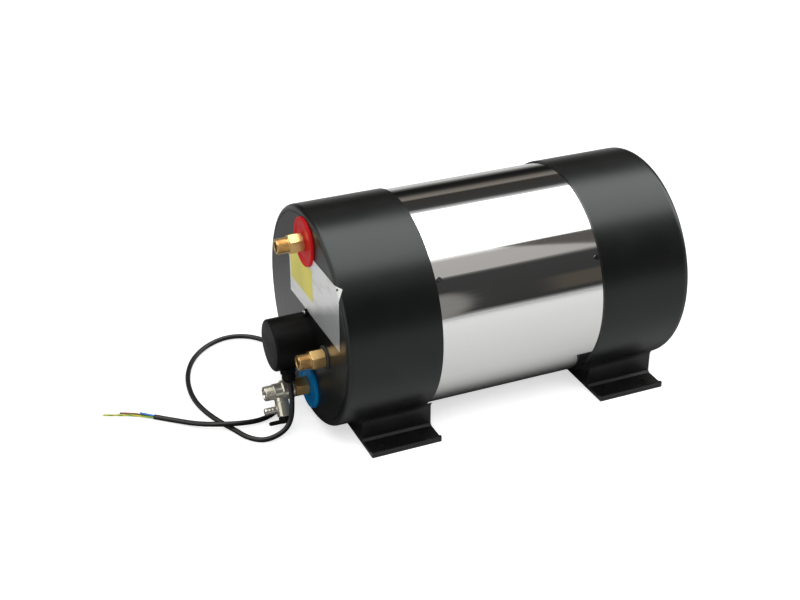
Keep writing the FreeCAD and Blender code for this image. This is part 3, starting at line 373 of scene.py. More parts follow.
def cap_material():
    """Satin black moulded plastic with a fine leather-like grain."""
    material, tree, shader = new_material("cap_plastic")
    broad = noise(tree, 18, 4)
    tint(tree, broad, (0.0045, 0.005, 0.0048), (0.0065, 0.007, 0.0068),
         shader.inputs["Base Color"])
    spread(tree, broad, 0.29, 0.33, shader.inputs["Roughness"])
    shader.inputs["Specular IOR Level"].default_value = 0.3
    shader.inputs["Specular Tint"].default_value = (0.92, 1.0, 0.98, 1)
    fine = noise(tree, 1400, 2)
    bump(tree, fine, shader, 0.25, 0.00005)
    return material


# The foil's tones below and above, a painted reflection of darker things below and brighter ones
# above, the heights in metres where one turns into the other, its tone of painted shade in the
# hollows of its creases, and the place in y and z and the radius of the small hole in its corner,
# in metres.
FOIL_LOW_REFLECTION_TONE = (0.36, 0.375, 0.375)
FOIL_HIGH_REFLECTION_TONE = (0.76, 0.77, 0.765)
FOIL_CHANGE_START = 0.163
FOIL_CHANGE_END = 0.179
FOIL_CREASE_SHADE_TONE = (0.30, 0.31, 0.32)
FOIL_HOLE = (-0.1125, 0.2505)
FOIL_HOLE_RADIUS = 0.0017
FOIL_HOLE_TONE = (0.03, 0.03, 0.03)


def plate_material():
    """Brushed foil with a painted reflection, grey in its lower half and pale above, painted shade
    in the hollows of its creases, and a small hole.
    """
    material, tree, shader = new_material("plate_foil")
    place = split_place(tree)
    cloud = noise(tree, 30, 3)
    slant = reckon(tree, "MULTIPLY_ADD", place["Y"], 0.5, place["Z"])
    height = reckon(tree, "MULTIPLY_ADD", cloud, 0.010, slant)
    # Painted reflection: the grey lower half and the pale upper half stand in for the darker and
    # brighter things the foil reflects.
    half = ranged(tree, height, FOIL_CHANGE_START, FOIL_CHANGE_END)
    grey = mixed(tree, half, FOIL_LOW_REFLECTION_TONE, FOIL_HIGH_REFLECTION_TONE)
    creases = noise(tree, 60, 3, (1, 0.5, 1.6))
    # Painted shade: the foil is darkened where the crease bump is lowest, in the hollows of its
    # creases.
    crease_shade = ranged(tree, creases, 0.35, 0.5, 0.22, 0.0)
    crease_shaded = mixed(tree, crease_shade, grey, FOIL_CREASE_SHADE_TONE)
    aside = reckon(tree, "SUBTRACT", place["Y"], FOIL_HOLE[0])
    above = reckon(tree, "SUBTRACT", place["Z"], FOIL_HOLE[1])
    away = reckon(tree, "SQRT", square_sum(tree, aside, above))
    hole = reckon(tree, "LESS_THAN", away, FOIL_HOLE_RADIUS)
    tree.links.new(mixed(tree, hole, crease_shaded, FOIL_HOLE_TONE), shader.inputs["Base Color"])
    shader.inputs["Metallic"].default_value = 0.35
    spread(tree, cloud, 0.34, 0.46, shader.inputs["Roughness"])
    bump(tree, creases, shader, 0.5, 0.0006)
    return material


def core_earth_material():
    """Green insulation with a yellow stripe along it."""
    material, tree, shader = new_material("core_green")
    place = tree.nodes.new("ShaderNodeTexCoord")
    wave = tree.nodes.new("ShaderNodeTexWave")
    wave.inputs["Scale"].default_value = 90
    wave.bands_direction = "DIAGONAL"
    tree.links.new(place.outputs["Object"], wave.inputs["Vector"])
    tint(tree, wave.outputs["Fac"], (0.16, 0.34, 0.03), (0.62, 0.55, 0.04),
         shader.inputs["Base Color"])
    shader.inputs["Roughness"].default_value = 0.45
    return material


MATERIALS = {
    "cap_plastic": cap_material(),
    "jacket_steel": jacket_material(),
    "foot_plastic": surface("foot_plastic", (0.006, 0.006, 0.006), 0.34, grain=1200),
    "fixing_steel": surface("fixing_steel", (0.56, 0.56, 0.55), 0.2, 1.0, grain=700),
    "vessel_steel": surface("vessel_steel", (0.6, 0.6, 0.59), 0.35, 1.0, stretch=(0.1, 1, 1)),
    "foam": surface("foam", (0.75, 0.6, 0.3), 0.9, grain=260, depth=0.0008, vary=0.2),
    "brass": surface("brass", (0.45, 0.29, 0.115), 0.24, 0.7, grain=700, vary=0.4),
    "red_plastic": surface("red_plastic", (0.60, 0.010, 0.013), 0.4, grain=500, gloss=0.07),
    "blue_plastic": surface("blue_plastic", (0.002, 0.17, 0.42), 0.4, grain=500, gloss=0.05),
    "seal_rubber": surface("seal_rubber", (0.02, 0.02, 0.02), 0.7),
    "valve_nickel": surface("valve_nickel", (0.50, 0.485, 0.42), 0.22, 0.7, depth=0.00002),
    "spring_steel": surface("spring_steel", (0.5, 0.5, 0.5), 0.25, 1.0),
    "black_plastic": surface("black_plastic", (0.004, 0.004, 0.004), 0.42, grain=1100, gloss=0.05),
    "white_plastic": surface("white_plastic", (0.8, 0.8, 0.76), 0.4),
    "red_button": surface("red_button", (0.7, 0.02, 0.02), 0.35),
    "anode_metal": surface("anode_metal", (0.5, 0.5, 0.5), 0.55, 1.0, grain=300, vary=0.25),
    "plate_foil": plate_material(),
    "patch_yellow": surface("patch_yellow", (0.74, 0.67, 0.12), 0.5, grain=500),
    "cable_black": surface("cable_black", (0.005, 0.005, 0.005), 0.42, grain=1500, gloss=0.3),
    "core_blue": surface("core_blue", (0.03, 0.2, 0.6), 0.4),
    "core_brown": surface("core_brown", (0.22, 0.09, 0.035), 0.4),
    "core_green": core_earth_material(),
}

# The jacket's rivets are painted darker than the other fixings: a painted reflection, standing in
# for the dark things their heads reflect.
RIVET_PAINTED_DARK_STEEL = surface("rivet_painted_dark", (0.13, 0.13, 0.13), 0.25, 1.0, grain=700)

for entry in frame["record"]["subparts"]:
    riveted = entry["node"] == "jacket_rivets"
    for item in frame["nodes"][entry["node"]].material_slots:
        item.material = RIVET_PAINTED_DARK_STEEL if riveted else MATERIALS[entry["material_slot"]]


# Brass nipples

PORT_CHAMFER = 0.6


def make_nipple(node, y, z, seat):
    """A threaded spigot and a chamfered hexagon on its seat, with the port's bore through them."""
    place = axis_frame(spot(0, y, z), X_AXIS)
    shoulder = -seat - HEX_LENGTH
    tip = shoulder - PORT_REACH
    rings = [(-seat, PORT_RADIUS), (tip + PORT_CHAMFER, PORT_RADIUS),
             (tip, PORT_RADIUS + PORT_CHAMFER)]
    rings += thread_rings(tip, shoulder)
    rings += hex_rings(shoulder, -seat, HEX_FLATS)
    turned_piece(f"{node}_dress", rings, place, "brass", 120, node)


# Collars, cover and gland

COLLAR_BORE = 11
COLLAR_ROUND = 1
# The shallow groove in a collar's outer face, from its outer edge to its inner one.
COLLAR_GROOVE = [(-4, 24), (-3.6, 23.4), (-3.6, 17.4), (-4, 16.8)]
COVER_ROUND = 3.5
COVER_END = 3
# How far a lug's root lies inside the cover, and its layers: place along X and share drawn in.
LUG_ROOT = 3
LUG_LAYERS = ((0, 0), (-3.4, 0), (-LUG_THICKNESS, 0.1))
LUG_ARC_STEPS = 12
# Along the gland's axis, from the middle of the cover: its hexagon collar starts inside the
# cover's wall and ends at the nut, whose end is rounded and whose ribs run along it.
GLAND_COLLAR_START = 33
GLAND_COLLAR_END = 41.5
GLAND_COLLAR_BORE = 3.6
NUT_START = 41.6
NUT_BORE = 3.55
NUT_ROUND_START = 49.4
NUT_ROUND = 3.5
NUT_RIBS = 14
NUT_RIB_DEPTH = 0.35


def make_collar(node, z, slot):
    """A round collar with a rounded edge and a shallow groove in its face."""
    place = axis_frame(spot(0, 0, z), X_AXIS)
    rings = [(0, COLLAR_BORE), (0, COLLAR_RADIUS)]
    rings += arc_rings(COLLAR_ROUND - COLLAR_THICKNESS, COLLAR_RADIUS - COLLAR_ROUND,
                       COLLAR_ROUND, 90, 180)
    rings += COLLAR_GROOVE
    rings += [(-COLLAR_THICKNESS, COLLAR_BORE)]
    turned_piece(f"{node}_dress", rings, place, slot, 120, node)


def cover_frame():
    """The element cover's frame: local X runs into the tank from the face."""
    return axis_frame(spot(0, 0, -COIL_DROP), X_AXIS)


def make_cover():
    """The round cover over the element: a cup with a rounded rim and three screw lugs."""
    inner = COVER_RADIUS - COVER_WALL
    rings = [(0, inner), (0, COVER_RADIUS)]
    rings += arc_rings(COVER_ROUND - COVER_LENGTH, COVER_RADIUS - COVER_ROUND, COVER_ROUND,
                       90, 180)
    rings += [(-COVER_LENGTH, 4), (-COVER_LENGTH, 0.1), (COVER_END - COVER_LENGTH, 0.1),
              (COVER_END - COVER_LENGTH, inner)]
    turned_piece("cover_cup", rings, cover_frame(), "black_plastic", 128, "element_cover")
    for index, turn in enumerate((0, 120, 240)):
        make_lug(f"cover_lug_{index}", turn)


def make_lug(name, turn):
    """A tongue with a round end that stands out from the foot of the cover."""
    root = COVER_RADIUS - LUG_ROOT
    outline = [(-LUG_RADIUS, root)]
    for step in range(LUG_ARC_STEPS + 1):
        angle = math.pi - math.pi * step / LUG_ARC_STEPS
        outline.append((LUG_RADIUS * math.cos(angle), LUG_REACH + LUG_RADIUS * math.sin(angle)))
    outline.append((LUG_RADIUS, root))
    place = cover_frame() @ Matrix.Rotation(math.radians(turn), 4, "X")
    points = []
    for x, shrink in LUG_LAYERS:
        for across, out in outline:
            inward = (LUG_REACH - out) * shrink
            points.append(place @ Vector((x, across * (1 - shrink), out + inward)))
    count = len(outline)
    last = len(LUG_LAYERS) - 1
    faces = [tuple(range(count)), tuple(reversed(range(last * count, (last + 1) * count)))]
    for layer in range(last):
        for step in range(count):
            following = (step + 1) % count
            low = layer * count
            faces.append((low + step, low + count + step, low + count + following,
                          low + following))
    own(add_mesh(name, points, faces, MATERIALS["black_plastic"]), "heater", "black_plastic")


def make_gland():
    """Hexagon collar and ribbed dome nut, square to the side of the cover."""
    place = axis_frame(spot(-GLAND_SETBACK, 0, -COIL_DROP), down_way(GLAND_TILT), X_AXIS)
    collar = [(GLAND_COLLAR_START, GLAND_COLLAR_BORE), (GLAND_COLLAR_START, 8)]
    collar += hex_rings(COVER_RADIUS - 1, GLAND_COLLAR_END, GLAND_FLATS)
    collar += [(GLAND_COLLAR_END, GLAND_COLLAR_BORE)]
    turned_piece("gland_collar", collar, place, "black_plastic", 96, "gland_body")

    def ribbed(radius):
        return lambda angle: radius - NUT_RIB_DEPTH * (0.5 + 0.5 * math.cos(NUT_RIBS * angle))
    nut = [(NUT_START, NUT_BORE), (NUT_START, 8.2), (42.2, ribbed(8.9)), (48.5, ribbed(9)),
           (NUT_ROUND_START, 8.6)]
    nut += arc_rings(NUT_ROUND_START, 5.1, NUT_ROUND, 90, 20)
    nut += [(GLAND_END, 5.2), (GLAND_END, NUT_BORE)]
    turned_piece("gland_dome", nut, place, "black_plastic", 112, "gland_nut")


# Feet

# The blend's reach at a foot's front end and along its walls, its stations along each side and
# points along its curve, and how far its corner and its upper edge sink into what they meet.
BLEND_END = 10
BLEND_WALL = 6
BLEND_STATIONS = 20
BLEND_STEPS = 8
BLEND_CORNER_SINK = 0.5
BLEND_EDGE_SINK = 0.1
# How far the curve's guiding point lies under the tank.
BLEND_GUIDE_DROP = 0.2
FLOOR_CLEARANCE = 0.5


def tank_bottom(y):
    """Height in the face frame of the tank's underside, at a place to the side."""
    return -math.sqrt(TANK_RADIUS ** 2 - y ** 2)


def make_foot_blend(name, start):
    """A concave blend from a foot's walls and front end up to the tank."""
    half = FOOT_WALL_REACH
    apart = FOOT_LENGTH / BLEND_STATIONS
    # A station is x, y, and the ways out of the foot along x and along y.
    stations = [(start + FOOT_LENGTH - apart * step, -half, 0, -1)
                for step in range(BLEND_STATIONS)]
    stations += [(start, -half, -1, -1)]
    stations += [(start, -half + half * step / BLEND_STATIONS, -1, 0)
                 for step in range(1, 2 * BLEND_STATIONS)]
    stations += [(start, half, -1, 1)]
    stations += [(start + apart * (step + 1), half, 0, 1) for step in range(BLEND_STATIONS)]
    points = []
    for x, y, ahead, aside in stations:
        size = BLEND_END if ahead else BLEND_WALL
        low = Vector((x, y, max(tank_bottom(y) - size, FLOOR_CLEARANCE - AXIS_Z)))
        middle = Vector((x, y, tank_bottom(y) - BLEND_GUIDE_DROP))
        out = y + aside * BLEND_WALL
        high = Vector((x + ahead * BLEND_END, out, tank_bottom(out) + BLEND_EDGE_SINK))
        for step in range(BLEND_STEPS + 1):
            share = step / BLEND_STEPS
            point = low * (1 - share) ** 2 + middle * 2 * share * (1 - share) + high * share ** 2
            points.append(spot(*point))
        inward = Vector((-ahead, -aside, 0)) * BLEND_CORNER_SINK
        points.append(spot(*(middle + inward + Z_AXIS * BLEND_CORNER_SINK)))
    ring = BLEND_STEPS + 2
    faces = [tuple(range(ring)), tuple(reversed(range(len(points) - ring, len(points))))]
    for index in range(len(stations) - 1):
        for step in range(ring):
            following = (step + 1) % ring
            faces.append((index * ring + step, (index + 1) * ring + step,
                          (index + 1) * ring + following, index * ring + following))
    own(add_mesh(name, points, faces, MATERIALS["foot_plastic"], 60), "heater", "foot_plastic")


# Inlet valve

# Profiles of (x, radius) in millimetres. The socket, the barrel and the bore are along the valve,
# from the face outwards, and the bore runs back from the inlet's mouth.
VALVE_SOCKET = [(25, 10.6), (25, 12.7), (25.8, 13.5), (40.6, 13.5), (42, 12.1), (42, 11.2)]
VALVE_BARREL = [(42.4, 11), (52.6, 11), (53.4, 10.2), (54, 9.4)]
VALVE_BORE = [(66, 7.2), (65.4, 6.8), (60, 6.8), (60, 4.5), (58, 4.5), (58, 7), (41, 7),
              (41, 10.6)]
INLET_START = 54
INLET_END = 66
# These are along the branch, from the middle of the valve downwards.
BRANCH_BOSS = [(8.5, 3), (8.5, 9.5), (13.6, 9.5), (14, 9.1), (14, 3)]
BONNET_SIDE = [(14.1, 7.1), (14.1, 9.1), (14.6, 9.5), (33.4, 9.5)]
BONNET_STUB = [(35, 4), (38, 4), (38, 1.56), (32, 1.56), (32, 7)]
# The rounded edge between them: its middle and its radius.
BONNET_ROUND_MIDDLE = (33.4, 7.9)
BONNET_ROUND = 1.6
DRAIN_DROP = 24
# This one is along the drain spigot, outwards from the branch.
DRAIN_BARBS = [(7, 3), (7, 5.6), (7.4, 6), (9.6, 6), (10, 5.6), (10, 4.6), (13, 4.6), (14.4, 5),
               (16, 4.6), (17.5, 4.6), (18.9, 5), (20.5, 4.6), (22, 4.6), (23.4, 5), (25.2, 4.6),
               (26, 4.2), (26, 3)]

LEVER_GROOVES = 12
LEVER_GROOVE_DEPTH = 0.5
LEVER_ARM_DROP = 41.3
# The arm's half width by the place along it.
LEVER_ARM = ((7, 2.9), (20, 2.75), (21.6, 2.5), (22.6, 1.9), (23, 1.0))
# The power that makes the arm's section square with rounded corners.
LEVER_ARM_SQUARENESS = 5


def valve_start():
    """Where the valve's axis meets the face."""
    return spot(0, 0, -COLD_DROP)


def branch_frame():
    """The branch's frame: local X runs down it from the valve's axis."""
    origin = valve_start() + Vector((-BRANCH_SETBACK * MM, 0, 0))
    return axis_frame(origin, down_way(VALVE_TILT), X_AXIS)


def make_valve():
    """Plated body: socket, barrel and threaded inlet in line, and a leaning branch with a drain."""
    place = axis_frame(valve_start(), OUTWARD)
    rings = VALVE_SOCKET + VALVE_BARREL
    rings += [(INLET_START + INLET_END - x, radius)
              for x, radius in reversed(thread_rings(INLET_START, INLET_END))]
    rings += VALVE_BORE
    turned_piece("valve_run", rings, place, "valve_nickel", 120, "valve_body")
    branch = branch_frame()
    turned_piece("valve_branch", BRANCH_BOSS, branch, "valve_nickel", 96)
    bonnet = BONNET_SIDE + arc_rings(*BONNET_ROUND_MIDDLE, BONNET_ROUND, 90, 0) + BONNET_STUB
    turned_piece("bonnet_shell", bonnet, branch, "valve_nickel", 96, "relief_bonnet")
    drain = axis_frame(branch @ Vector((DRAIN_DROP, 0, 0)), OUTWARD)
    turned_piece("drain_barbs", DRAIN_BARBS, drain, "valve_nickel", 80)


def make_lever():
    """Black hub with finger grooves and an arm, on the foot of the branch."""
    branch = branch_frame()

    def grooved(radius):
        return lambda angle: (radius - LEVER_GROOVE_DEPTH
                              * max(0.0, math.cos(LEVER_GROOVES * angle)) ** 2)
    hub = [(38.1, 4.06), (35.4, 4.06), (35.4, 7.6), (36.2, grooved(8.5)), (43.4, grooved(8.5)),
           (44.2, 7.6), (44.2, 1.6), (38.1, 1.6)]
    turned_piece("lever_hub", hub, branch, "black_plastic", 120, "relief_lever", body="lever")
    arm_start = branch @ Vector((LEVER_ARM_DROP, 0, 0))
    arm = axis_frame(arm_start, OUTWARD, branch.to_3x3() @ X_AXIS)

    def rounded_bar(half):
        def radius(angle):
            return 1 / ((abs(math.cos(angle)) / half) ** LEVER_ARM_SQUARENESS
                        + (abs(math.sin(angle)) / half) ** LEVER_ARM_SQUARENESS
                        ) ** (1 / LEVER_ARM_SQUARENESS)
        return radius
    bar = [(x, rounded_bar(half)) for x, half in LEVER_ARM]
    turned_piece("lever_arm", bar, arm, "black_plastic", 48, body="lever", closed=False)


def make_spring(node):
    """A copy of the part's spring, in spring steel and with its own mesh, that stands for its node.
    """
    source = frame["nodes"][node]
    mesh = source.data.copy()
    mesh.materials.clear()
    mesh.materials.append(MATERIALS["spring_steel"])
    piece = bpy.data.objects.new(f"{node}_live", mesh)
    scene.collection.objects.link(piece)
    piece.matrix_world = source.matrix_world
    own(piece, "heater", "spring_steel", node)
    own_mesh(piece)


# Data plate

# The sheets' left and right edges, their low and top edges, and their columns and rows.
PLATE_SIDES = (64, -120)
PLATE_LOW = 9
PLATE_TOP = 98
PLATE_CELLS = (92, 46)
# How much the plate's top edge drops for each millimetre of y past the middle line.
PLATE_SLANT = 0.19
PATCH_SIDES = (60, -24)
PATCH_LOW = 32
PATCH_TOP = 78
PATCH_CELLS = (60, 36)
# How far the plate stands off the face, the patch off the plate, and the height of the ripples.
PLATE_STAND = 0.42
PATCH_STAND = 0.12
RIPPLE_HEIGHT = 0.12
# Past this distance from the tank's axis the plate bends back, by this share of the rest.
CURL_START = 145
CURL_SHARE = 0.54
# Round openings in the plate, for the hot collar and the element cover: height and radius.
PLATE_OPENINGS = ((HOT_RISE, COLLAR_RADIUS + 0.4), (-COIL_DROP, COVER_RADIUS + 0.5))


def make_plate():
    """A bare foil plate with one slanted corner and one past the rim, and a blank patch on it."""
    def lift(across, up):
        ripple = RIPPLE_HEIGHT * math.sin(across / 9 + up / 14) * math.sin(up / 11)
        curl = max(0.0, math.hypot(across, up) - CURL_START) * CURL_SHARE
        return PLATE_STAND + max(0.0, ripple) - curl

    def plate_top(across):
        return PLATE_TOP - PLATE_SLANT * max(0, across)
    sheet_mesh("plate_sheet", PLATE_SIDES, PLATE_LOW, plate_top, PLATE_CELLS, lift,
               "plate_foil", "rating_plate")
    sheet_mesh("patch_sheet", PATCH_SIDES, PATCH_LOW, lambda across: PATCH_TOP, PATCH_CELLS,
               lambda across, up: lift(across, up) + PATCH_STAND, "patch_yellow", "plate_patch")


def sheet_mesh(name, sides, low, top, cells, lift, slot, node):
    """A thin sheet on the face, with a clean edge round each opening."""
    left, right = sides
    columns, rows = cells
    points = []
    outside = []
    for row in range(rows + 1):
        for column in range(columns + 1):
            across = left + (right - left) * column / columns
            up = low + (top(across) - low) * row / rows
            kept = True
            for middle, radius in PLATE_OPENINGS:
                away = math.hypot(across, up - middle)
                if away < radius:
                    kept = False
                    share = radius / max(away, 0.01)
                    across, up = across * share, middle + (up - middle) * share
            outside.append(kept)
            points.append(spot(-lift(across, up), across, up))
    faces = []
    for row in range(rows):
        for column in range(columns):
            first = row * (columns + 1) + column
            corners = (first, first + columns + 1, first + columns + 2, first + 1)
            if any(outside[corner] for corner in corners):
                faces.append(corners)
    used = sorted({corner for corners in faces for corner in corners})
    places = {corner: index for index, corner in enumerate(used)}
    piece = add_mesh(name, [points[corner] for corner in used],
                     [tuple(places[corner] for corner in corners) for corners in faces],
                     MATERIALS[slot], 60)
    own(piece, "heater", slot, node)


# Cable

# The route's points, in millimetres: x from the face, y sideways, z from the floor.
CABLE_ROUTE = [
    (-38, -34, 46), (-41, -37, 25), (-52, -38.5, 9.5), (-79, -41, 3.7), (-99, -25, 3.7),
    (-110, 2, 3.7), (-123, 29, 3.7), (-133, 58, 3.7), (-139, 90, 3.7), (-138, 123, 3.7),
    (-132, 155, 3.7), (-120, 186, 3.7), (-102, 213, 3.7), (-77, 234, 3.7), (-46, 245, 3.7),
    (-16, 236, 3.7), (6, 211, 3.7), (13, 179, 3.7), (9, 146, 3.7), (0, 114, 3.7),
    (-10, 84, 3.7), (-22, 53, 3.7), (-38, 24, 3.7), (-66, 9, 3.7), (-98, 1, 11),
    (-131, 9, 13), (-155, 31, 7), (-176, 54, 3.7), (-201, 75, 3.7),
]
# Each core: its node and slot, its place across the cable's end, its straight start, and the rest.
CORE_ROUTES = (
    ("core_blue", "core_blue", (0, 1.7), 6, [(-217, 89, 5.6)]),
    ("core_brown", "core_brown", (-1.5, -0.9), 10, [(-228, 99, 2.2), (-242, 106, 1.5)]),
    ("core_earth", "core_green", (1.5, -0.9), 10,
     [(-226, 93, 1.6), (-245, 102, 1.5), (-264, 110, 1.5)]),
)
# How far the cable runs straight on from the gland.
CABLE_STRAIGHT = 13


def smooth_cord(name, points, diameter, material):
    """A round cord on one smooth line."""
    curve = bpy.data.curves.new(name, "CURVE")
    curve.dimensions = "3D"
    line = curve.splines.new("NURBS")
    line.points.add(len(points) - 1)
    for item, point in zip(line.points, points):
        item.co = (*point, 1)
    line.order_u = 3
    line.use_endpoint_u = True
    line.resolution_u = 10
    curve.bevel_depth = diameter / 2 * MM
    curve.bevel_resolution = 6
    curve.use_fill_caps = True
    curve.materials.append(material)
    piece = bpy.data.objects.new(name, curve)
    scene.collection.objects.link(piece)
    return piece


def make_cable():
    """The mains cable from the gland to its bare end, with the three cores beyond it."""
    way = down_way(GLAND_TILT)
    leaves = spot(-GLAND_SETBACK, 0, -COIL_DROP) + way * GLAND_END * MM
    route = [leaves, leaves + way * CABLE_STRAIGHT * MM]
    route += [floor_spot(*point) for point in CABLE_ROUTE]
    cable = smooth_cord("cable_line", route, CABLE_DIAMETER, MATERIALS["cable_black"])
    own(cable, "heater", "cable_black", "mains_cable")
    end = route[-1]
    onward = (end - route[-2]).normalized()
    sideways = Vector((-onward.y, onward.x, 0))
    for node, slot, (aside, up), straight, points in CORE_ROUTES:
        start = end + sideways * aside * MM + Vector((0, 0, up)) * MM
        line = [start, start + onward * straight * MM] + [floor_spot(*point) for point in points]
        core = smooth_cord(f"{node}_line", line, CORE_DIAMETER, MATERIALS[slot])
        own(core, "heater", slot, node)


# Studio

# The studio's look in a mirror: degrees from straight up towards the front, and its level there.
STUDIO_BANDS = [
    (-180, 0.80), (-96, 0.70), (-90, 0.40), (-84, 0.09), (-79, 0.012), (-70, 0.016),
    (-66, 0.05), (-61, 0.20), (-56, 0.28), (-54, 0.05), (-41, 0.05), (-36, 0.07), (-31, 0.80),
    (-28, 5.0), (24, 5.0), (29, 1.2), (32, 0.57), (47, 0.53), (51, 0.055), (89, 0.045),
    (93, 0.60), (180, 0.80),
]
# Across is the sideways part of the way that a mirror looks, from -1 on the fittings' side to 1.
# The darker wedge on the right of the grey band: its edge passes through a place across and in
# degrees, and turns by so many degrees for each unit across. It is kept between two turns.
WEDGE_COLOUR = (0.125, 0.115, 0.11)
WEDGE_ACROSS = 0.42
WEDGE_TURN = 30
WEDGE_SLOPE = 254.5
WEDGE_SHARPNESS = 0.6
WEDGE_START = 28.5
WEDGE_END = 50
# The pale round spot in the dark band: its middle and half size across and in degrees.
SPOT_COLOUR = (0.29, 0.28, 0.265)
SPOT_ACROSS = 0.376
SPOT_TURN = 79
SPOT_HALF_WIDTH = 0.021
SPOT_HALF_TURN = 15
SPOT_SHARPNESS = 1.8
# The brown streak on the right of the dark band: its middle, half width and start across.
STREAK_COLOUR = (0.10, 0.088, 0.072)
STREAK_TURN = 78
STREAK_HALF_TURN = 9
STREAK_SHARPNESS = 0.3
STREAK_ACROSS = 0.44
STREAK_END_SHARPNESS = 60
# The bright card beyond the fittings, which shows on the valve's branch.
CARD_COLOUR = (2.0, 1.96, 1.8)
CARD_ACROSS = -0.58
CARD_SHARPNESS = 8

PLAIN_LIGHT = (0.62, 0.62, 0.62)
WHITE = (1, 1, 1)


def band_colour(turn, level):
    """A band's colour: the grey bands are a little warm, and the streak at the back is browner."""
    warm = 1.0
    if -70 < turn < -50:
        warm = 0.80
    elif 0.15 < level < 0.6 and turn < 60:
        warm = 0.93
    return level, level * (1 + warm) / 2, level * warm


def studio_gloss(tree):
    """What a mirror shows: softbox, dark walls, pale floor, and a few odd shapes between them."""
    way = split_place(tree, "Generated")
    across = way["X"]
    front = reckon(tree, "MULTIPLY", way["Y"], -1)
    angle = reckon(tree, "ARCTAN2", front, way["Z"])
    degrees = reckon(tree, "MULTIPLY", angle, 180 / math.pi)
    share = reckon(tree, "MULTIPLY_ADD", degrees, 1 / 360, 0.5)
    look = ramped(tree, share, [((turn + 180) / 360, band_colour(turn, level))
                                for turn, level in STUDIO_BANDS])

    edge = reckon(tree, "MULTIPLY_ADD", across, WEDGE_SLOPE,
                  WEDGE_TURN - WEDGE_SLOPE * WEDGE_ACROSS)
    short = reckon(tree, "SUBTRACT", edge, degrees)
    inside = reckon(tree, "MULTIPLY", short, WEDGE_SHARPNESS, clamp=True)
    started = reckon(tree, "SUBTRACT", degrees, WEDGE_START, clamp=True)
    ended = reckon(tree, "SUBTRACT", WEDGE_END, degrees, clamp=True)
    wedge = reckon(tree, "MULTIPLY", reckon(tree, "MULTIPLY", inside, started), ended)
    look = mixed(tree, wedge, look, WEDGE_COLOUR)

    sideways = reckon(tree, "SUBTRACT", across, SPOT_ACROSS)
    upright = reckon(tree, "SUBTRACT", degrees, SPOT_TURN)
    squares = square_sum(tree, reckon(tree, "MULTIPLY", sideways, 1 / SPOT_HALF_WIDTH),
                         reckon(tree, "MULTIPLY", upright, 1 / SPOT_HALF_TURN))
    near = reckon(tree, "MULTIPLY", reckon(tree, "SUBTRACT", 1, squares), SPOT_SHARPNESS,
                  clamp=True)
    look = mixed(tree, near, look, SPOT_COLOUR)

    off = reckon(tree, "ABSOLUTE", reckon(tree, "SUBTRACT", degrees, STREAK_TURN))
    narrow = reckon(tree, "MULTIPLY", reckon(tree, "SUBTRACT", STREAK_HALF_TURN, off),
                    STREAK_SHARPNESS, clamp=True)
    right = reckon(tree, "MULTIPLY", reckon(tree, "SUBTRACT", across, STREAK_ACROSS),
                   STREAK_END_SHARPNESS, clamp=True)
    look = mixed(tree, reckon(tree, "MULTIPLY", narrow, right), look, STREAK_COLOUR)

    card = reckon(tree, "MULTIPLY", reckon(tree, "SUBTRACT", CARD_ACROSS, across),
                  CARD_SHARPNESS, clamp=True)
    return mixed(tree, card, look, CARD_COLOUR)


def make_world():
    """White for the camera, a plain even light, and the studio for gloss."""
    world = bpy.data.worlds.new("studio")
    scene.world = world
    world.use_nodes = True
    tree = world.node_tree
    path = tree.nodes.new("ShaderNodeLightPath")
    light = mixed(tree, path.outputs["Is Glossy Ray"], PLAIN_LIGHT, studio_gloss(tree))
    seen = mixed(tree, path.outputs["Is Camera Ray"], light, WHITE)
    tree.links.new(seen, tree.nodes["Background"].inputs["Color"])


# Painted shade on the paper that shows only in gloss: a painted shadow under the tank and painted
# bands of light and shade further back, as levels by the place in metres from the middle line to
# the back.
FLOOR_PAINTED_SHADE_IN_GLOSS = [
    (-0.17, 0.87), (-0.145, 0.80), (-0.12, 0.62), (-0.097, 0.32), (-0.078, 0.16), (-0.065, 0.10),
    (0.06, 0.10), (0.12, 0.40), (0.20, 0.87), (0.29, 1.0), (0.33, 0.90), (0.40, 0.75),
    (0.43, 0.62), (0.50, 0.50), (0.80, 0.50), (1.0, 0.87),
]
PAPER_DARK = (0.86, 0.86, 0.855)
PAPER_LIGHT = (0.88, 0.88, 0.875)
FLOOR_HALF = 6.0
# What the floor gives off towards the camera alone, so that it looks as white as the world.
FLOOR_GLOW = 0.58


def make_floor():
    """A pale paper floor that shows, in gloss alone, a painted shadow under the tank and painted
    bands of light and shade laid out for the jacket.
    """
    material, tree, shader = new_material("floor_paper")
    shader.inputs["Roughness"].default_value = 0.9
    shader.inputs["Specular IOR Level"].default_value = 0.1
    path = tree.nodes.new("ShaderNodeLightPath")
    share = reckon(tree, "MULTIPLY_ADD", split_place(tree)["Y"], 0.5, 0.5)
    # Painted shade: in gloss the paper is darkened under the tank and banded further back.
    gloss = ramped(tree, share, [((distance + 1) / 2, (level, level, level))
                                 for distance, level in FLOOR_PAINTED_SHADE_IN_GLOSS])
    paper = mixed(tree, noise(tree, 3, 2), PAPER_DARK, PAPER_LIGHT)
    shade = mixed(tree, path.outputs["Is Glossy Ray"], paper, gloss)
    tree.links.new(shade, shader.inputs["Base Color"])
    shader.inputs["Emission Color"].default_value = (*WHITE, 1)
    glow = reckon(tree, "MULTIPLY", path.outputs["Is Camera Ray"], FLOOR_GLOW)
    tree.links.new(glow, shader.inputs["Emission Strength"])
    half = FLOOR_HALF
    corners = [(-half, -half, 0), (half, -half, 0), (half, half, 0), (-half, half, 0)]
    floor = add_mesh("floor", corners, [(0, 1, 2, 3)], material)


# The middle of the heater, in metres, at which the lamps are aimed.
LAMP_TARGET = Vector((0, 0, 0.15))


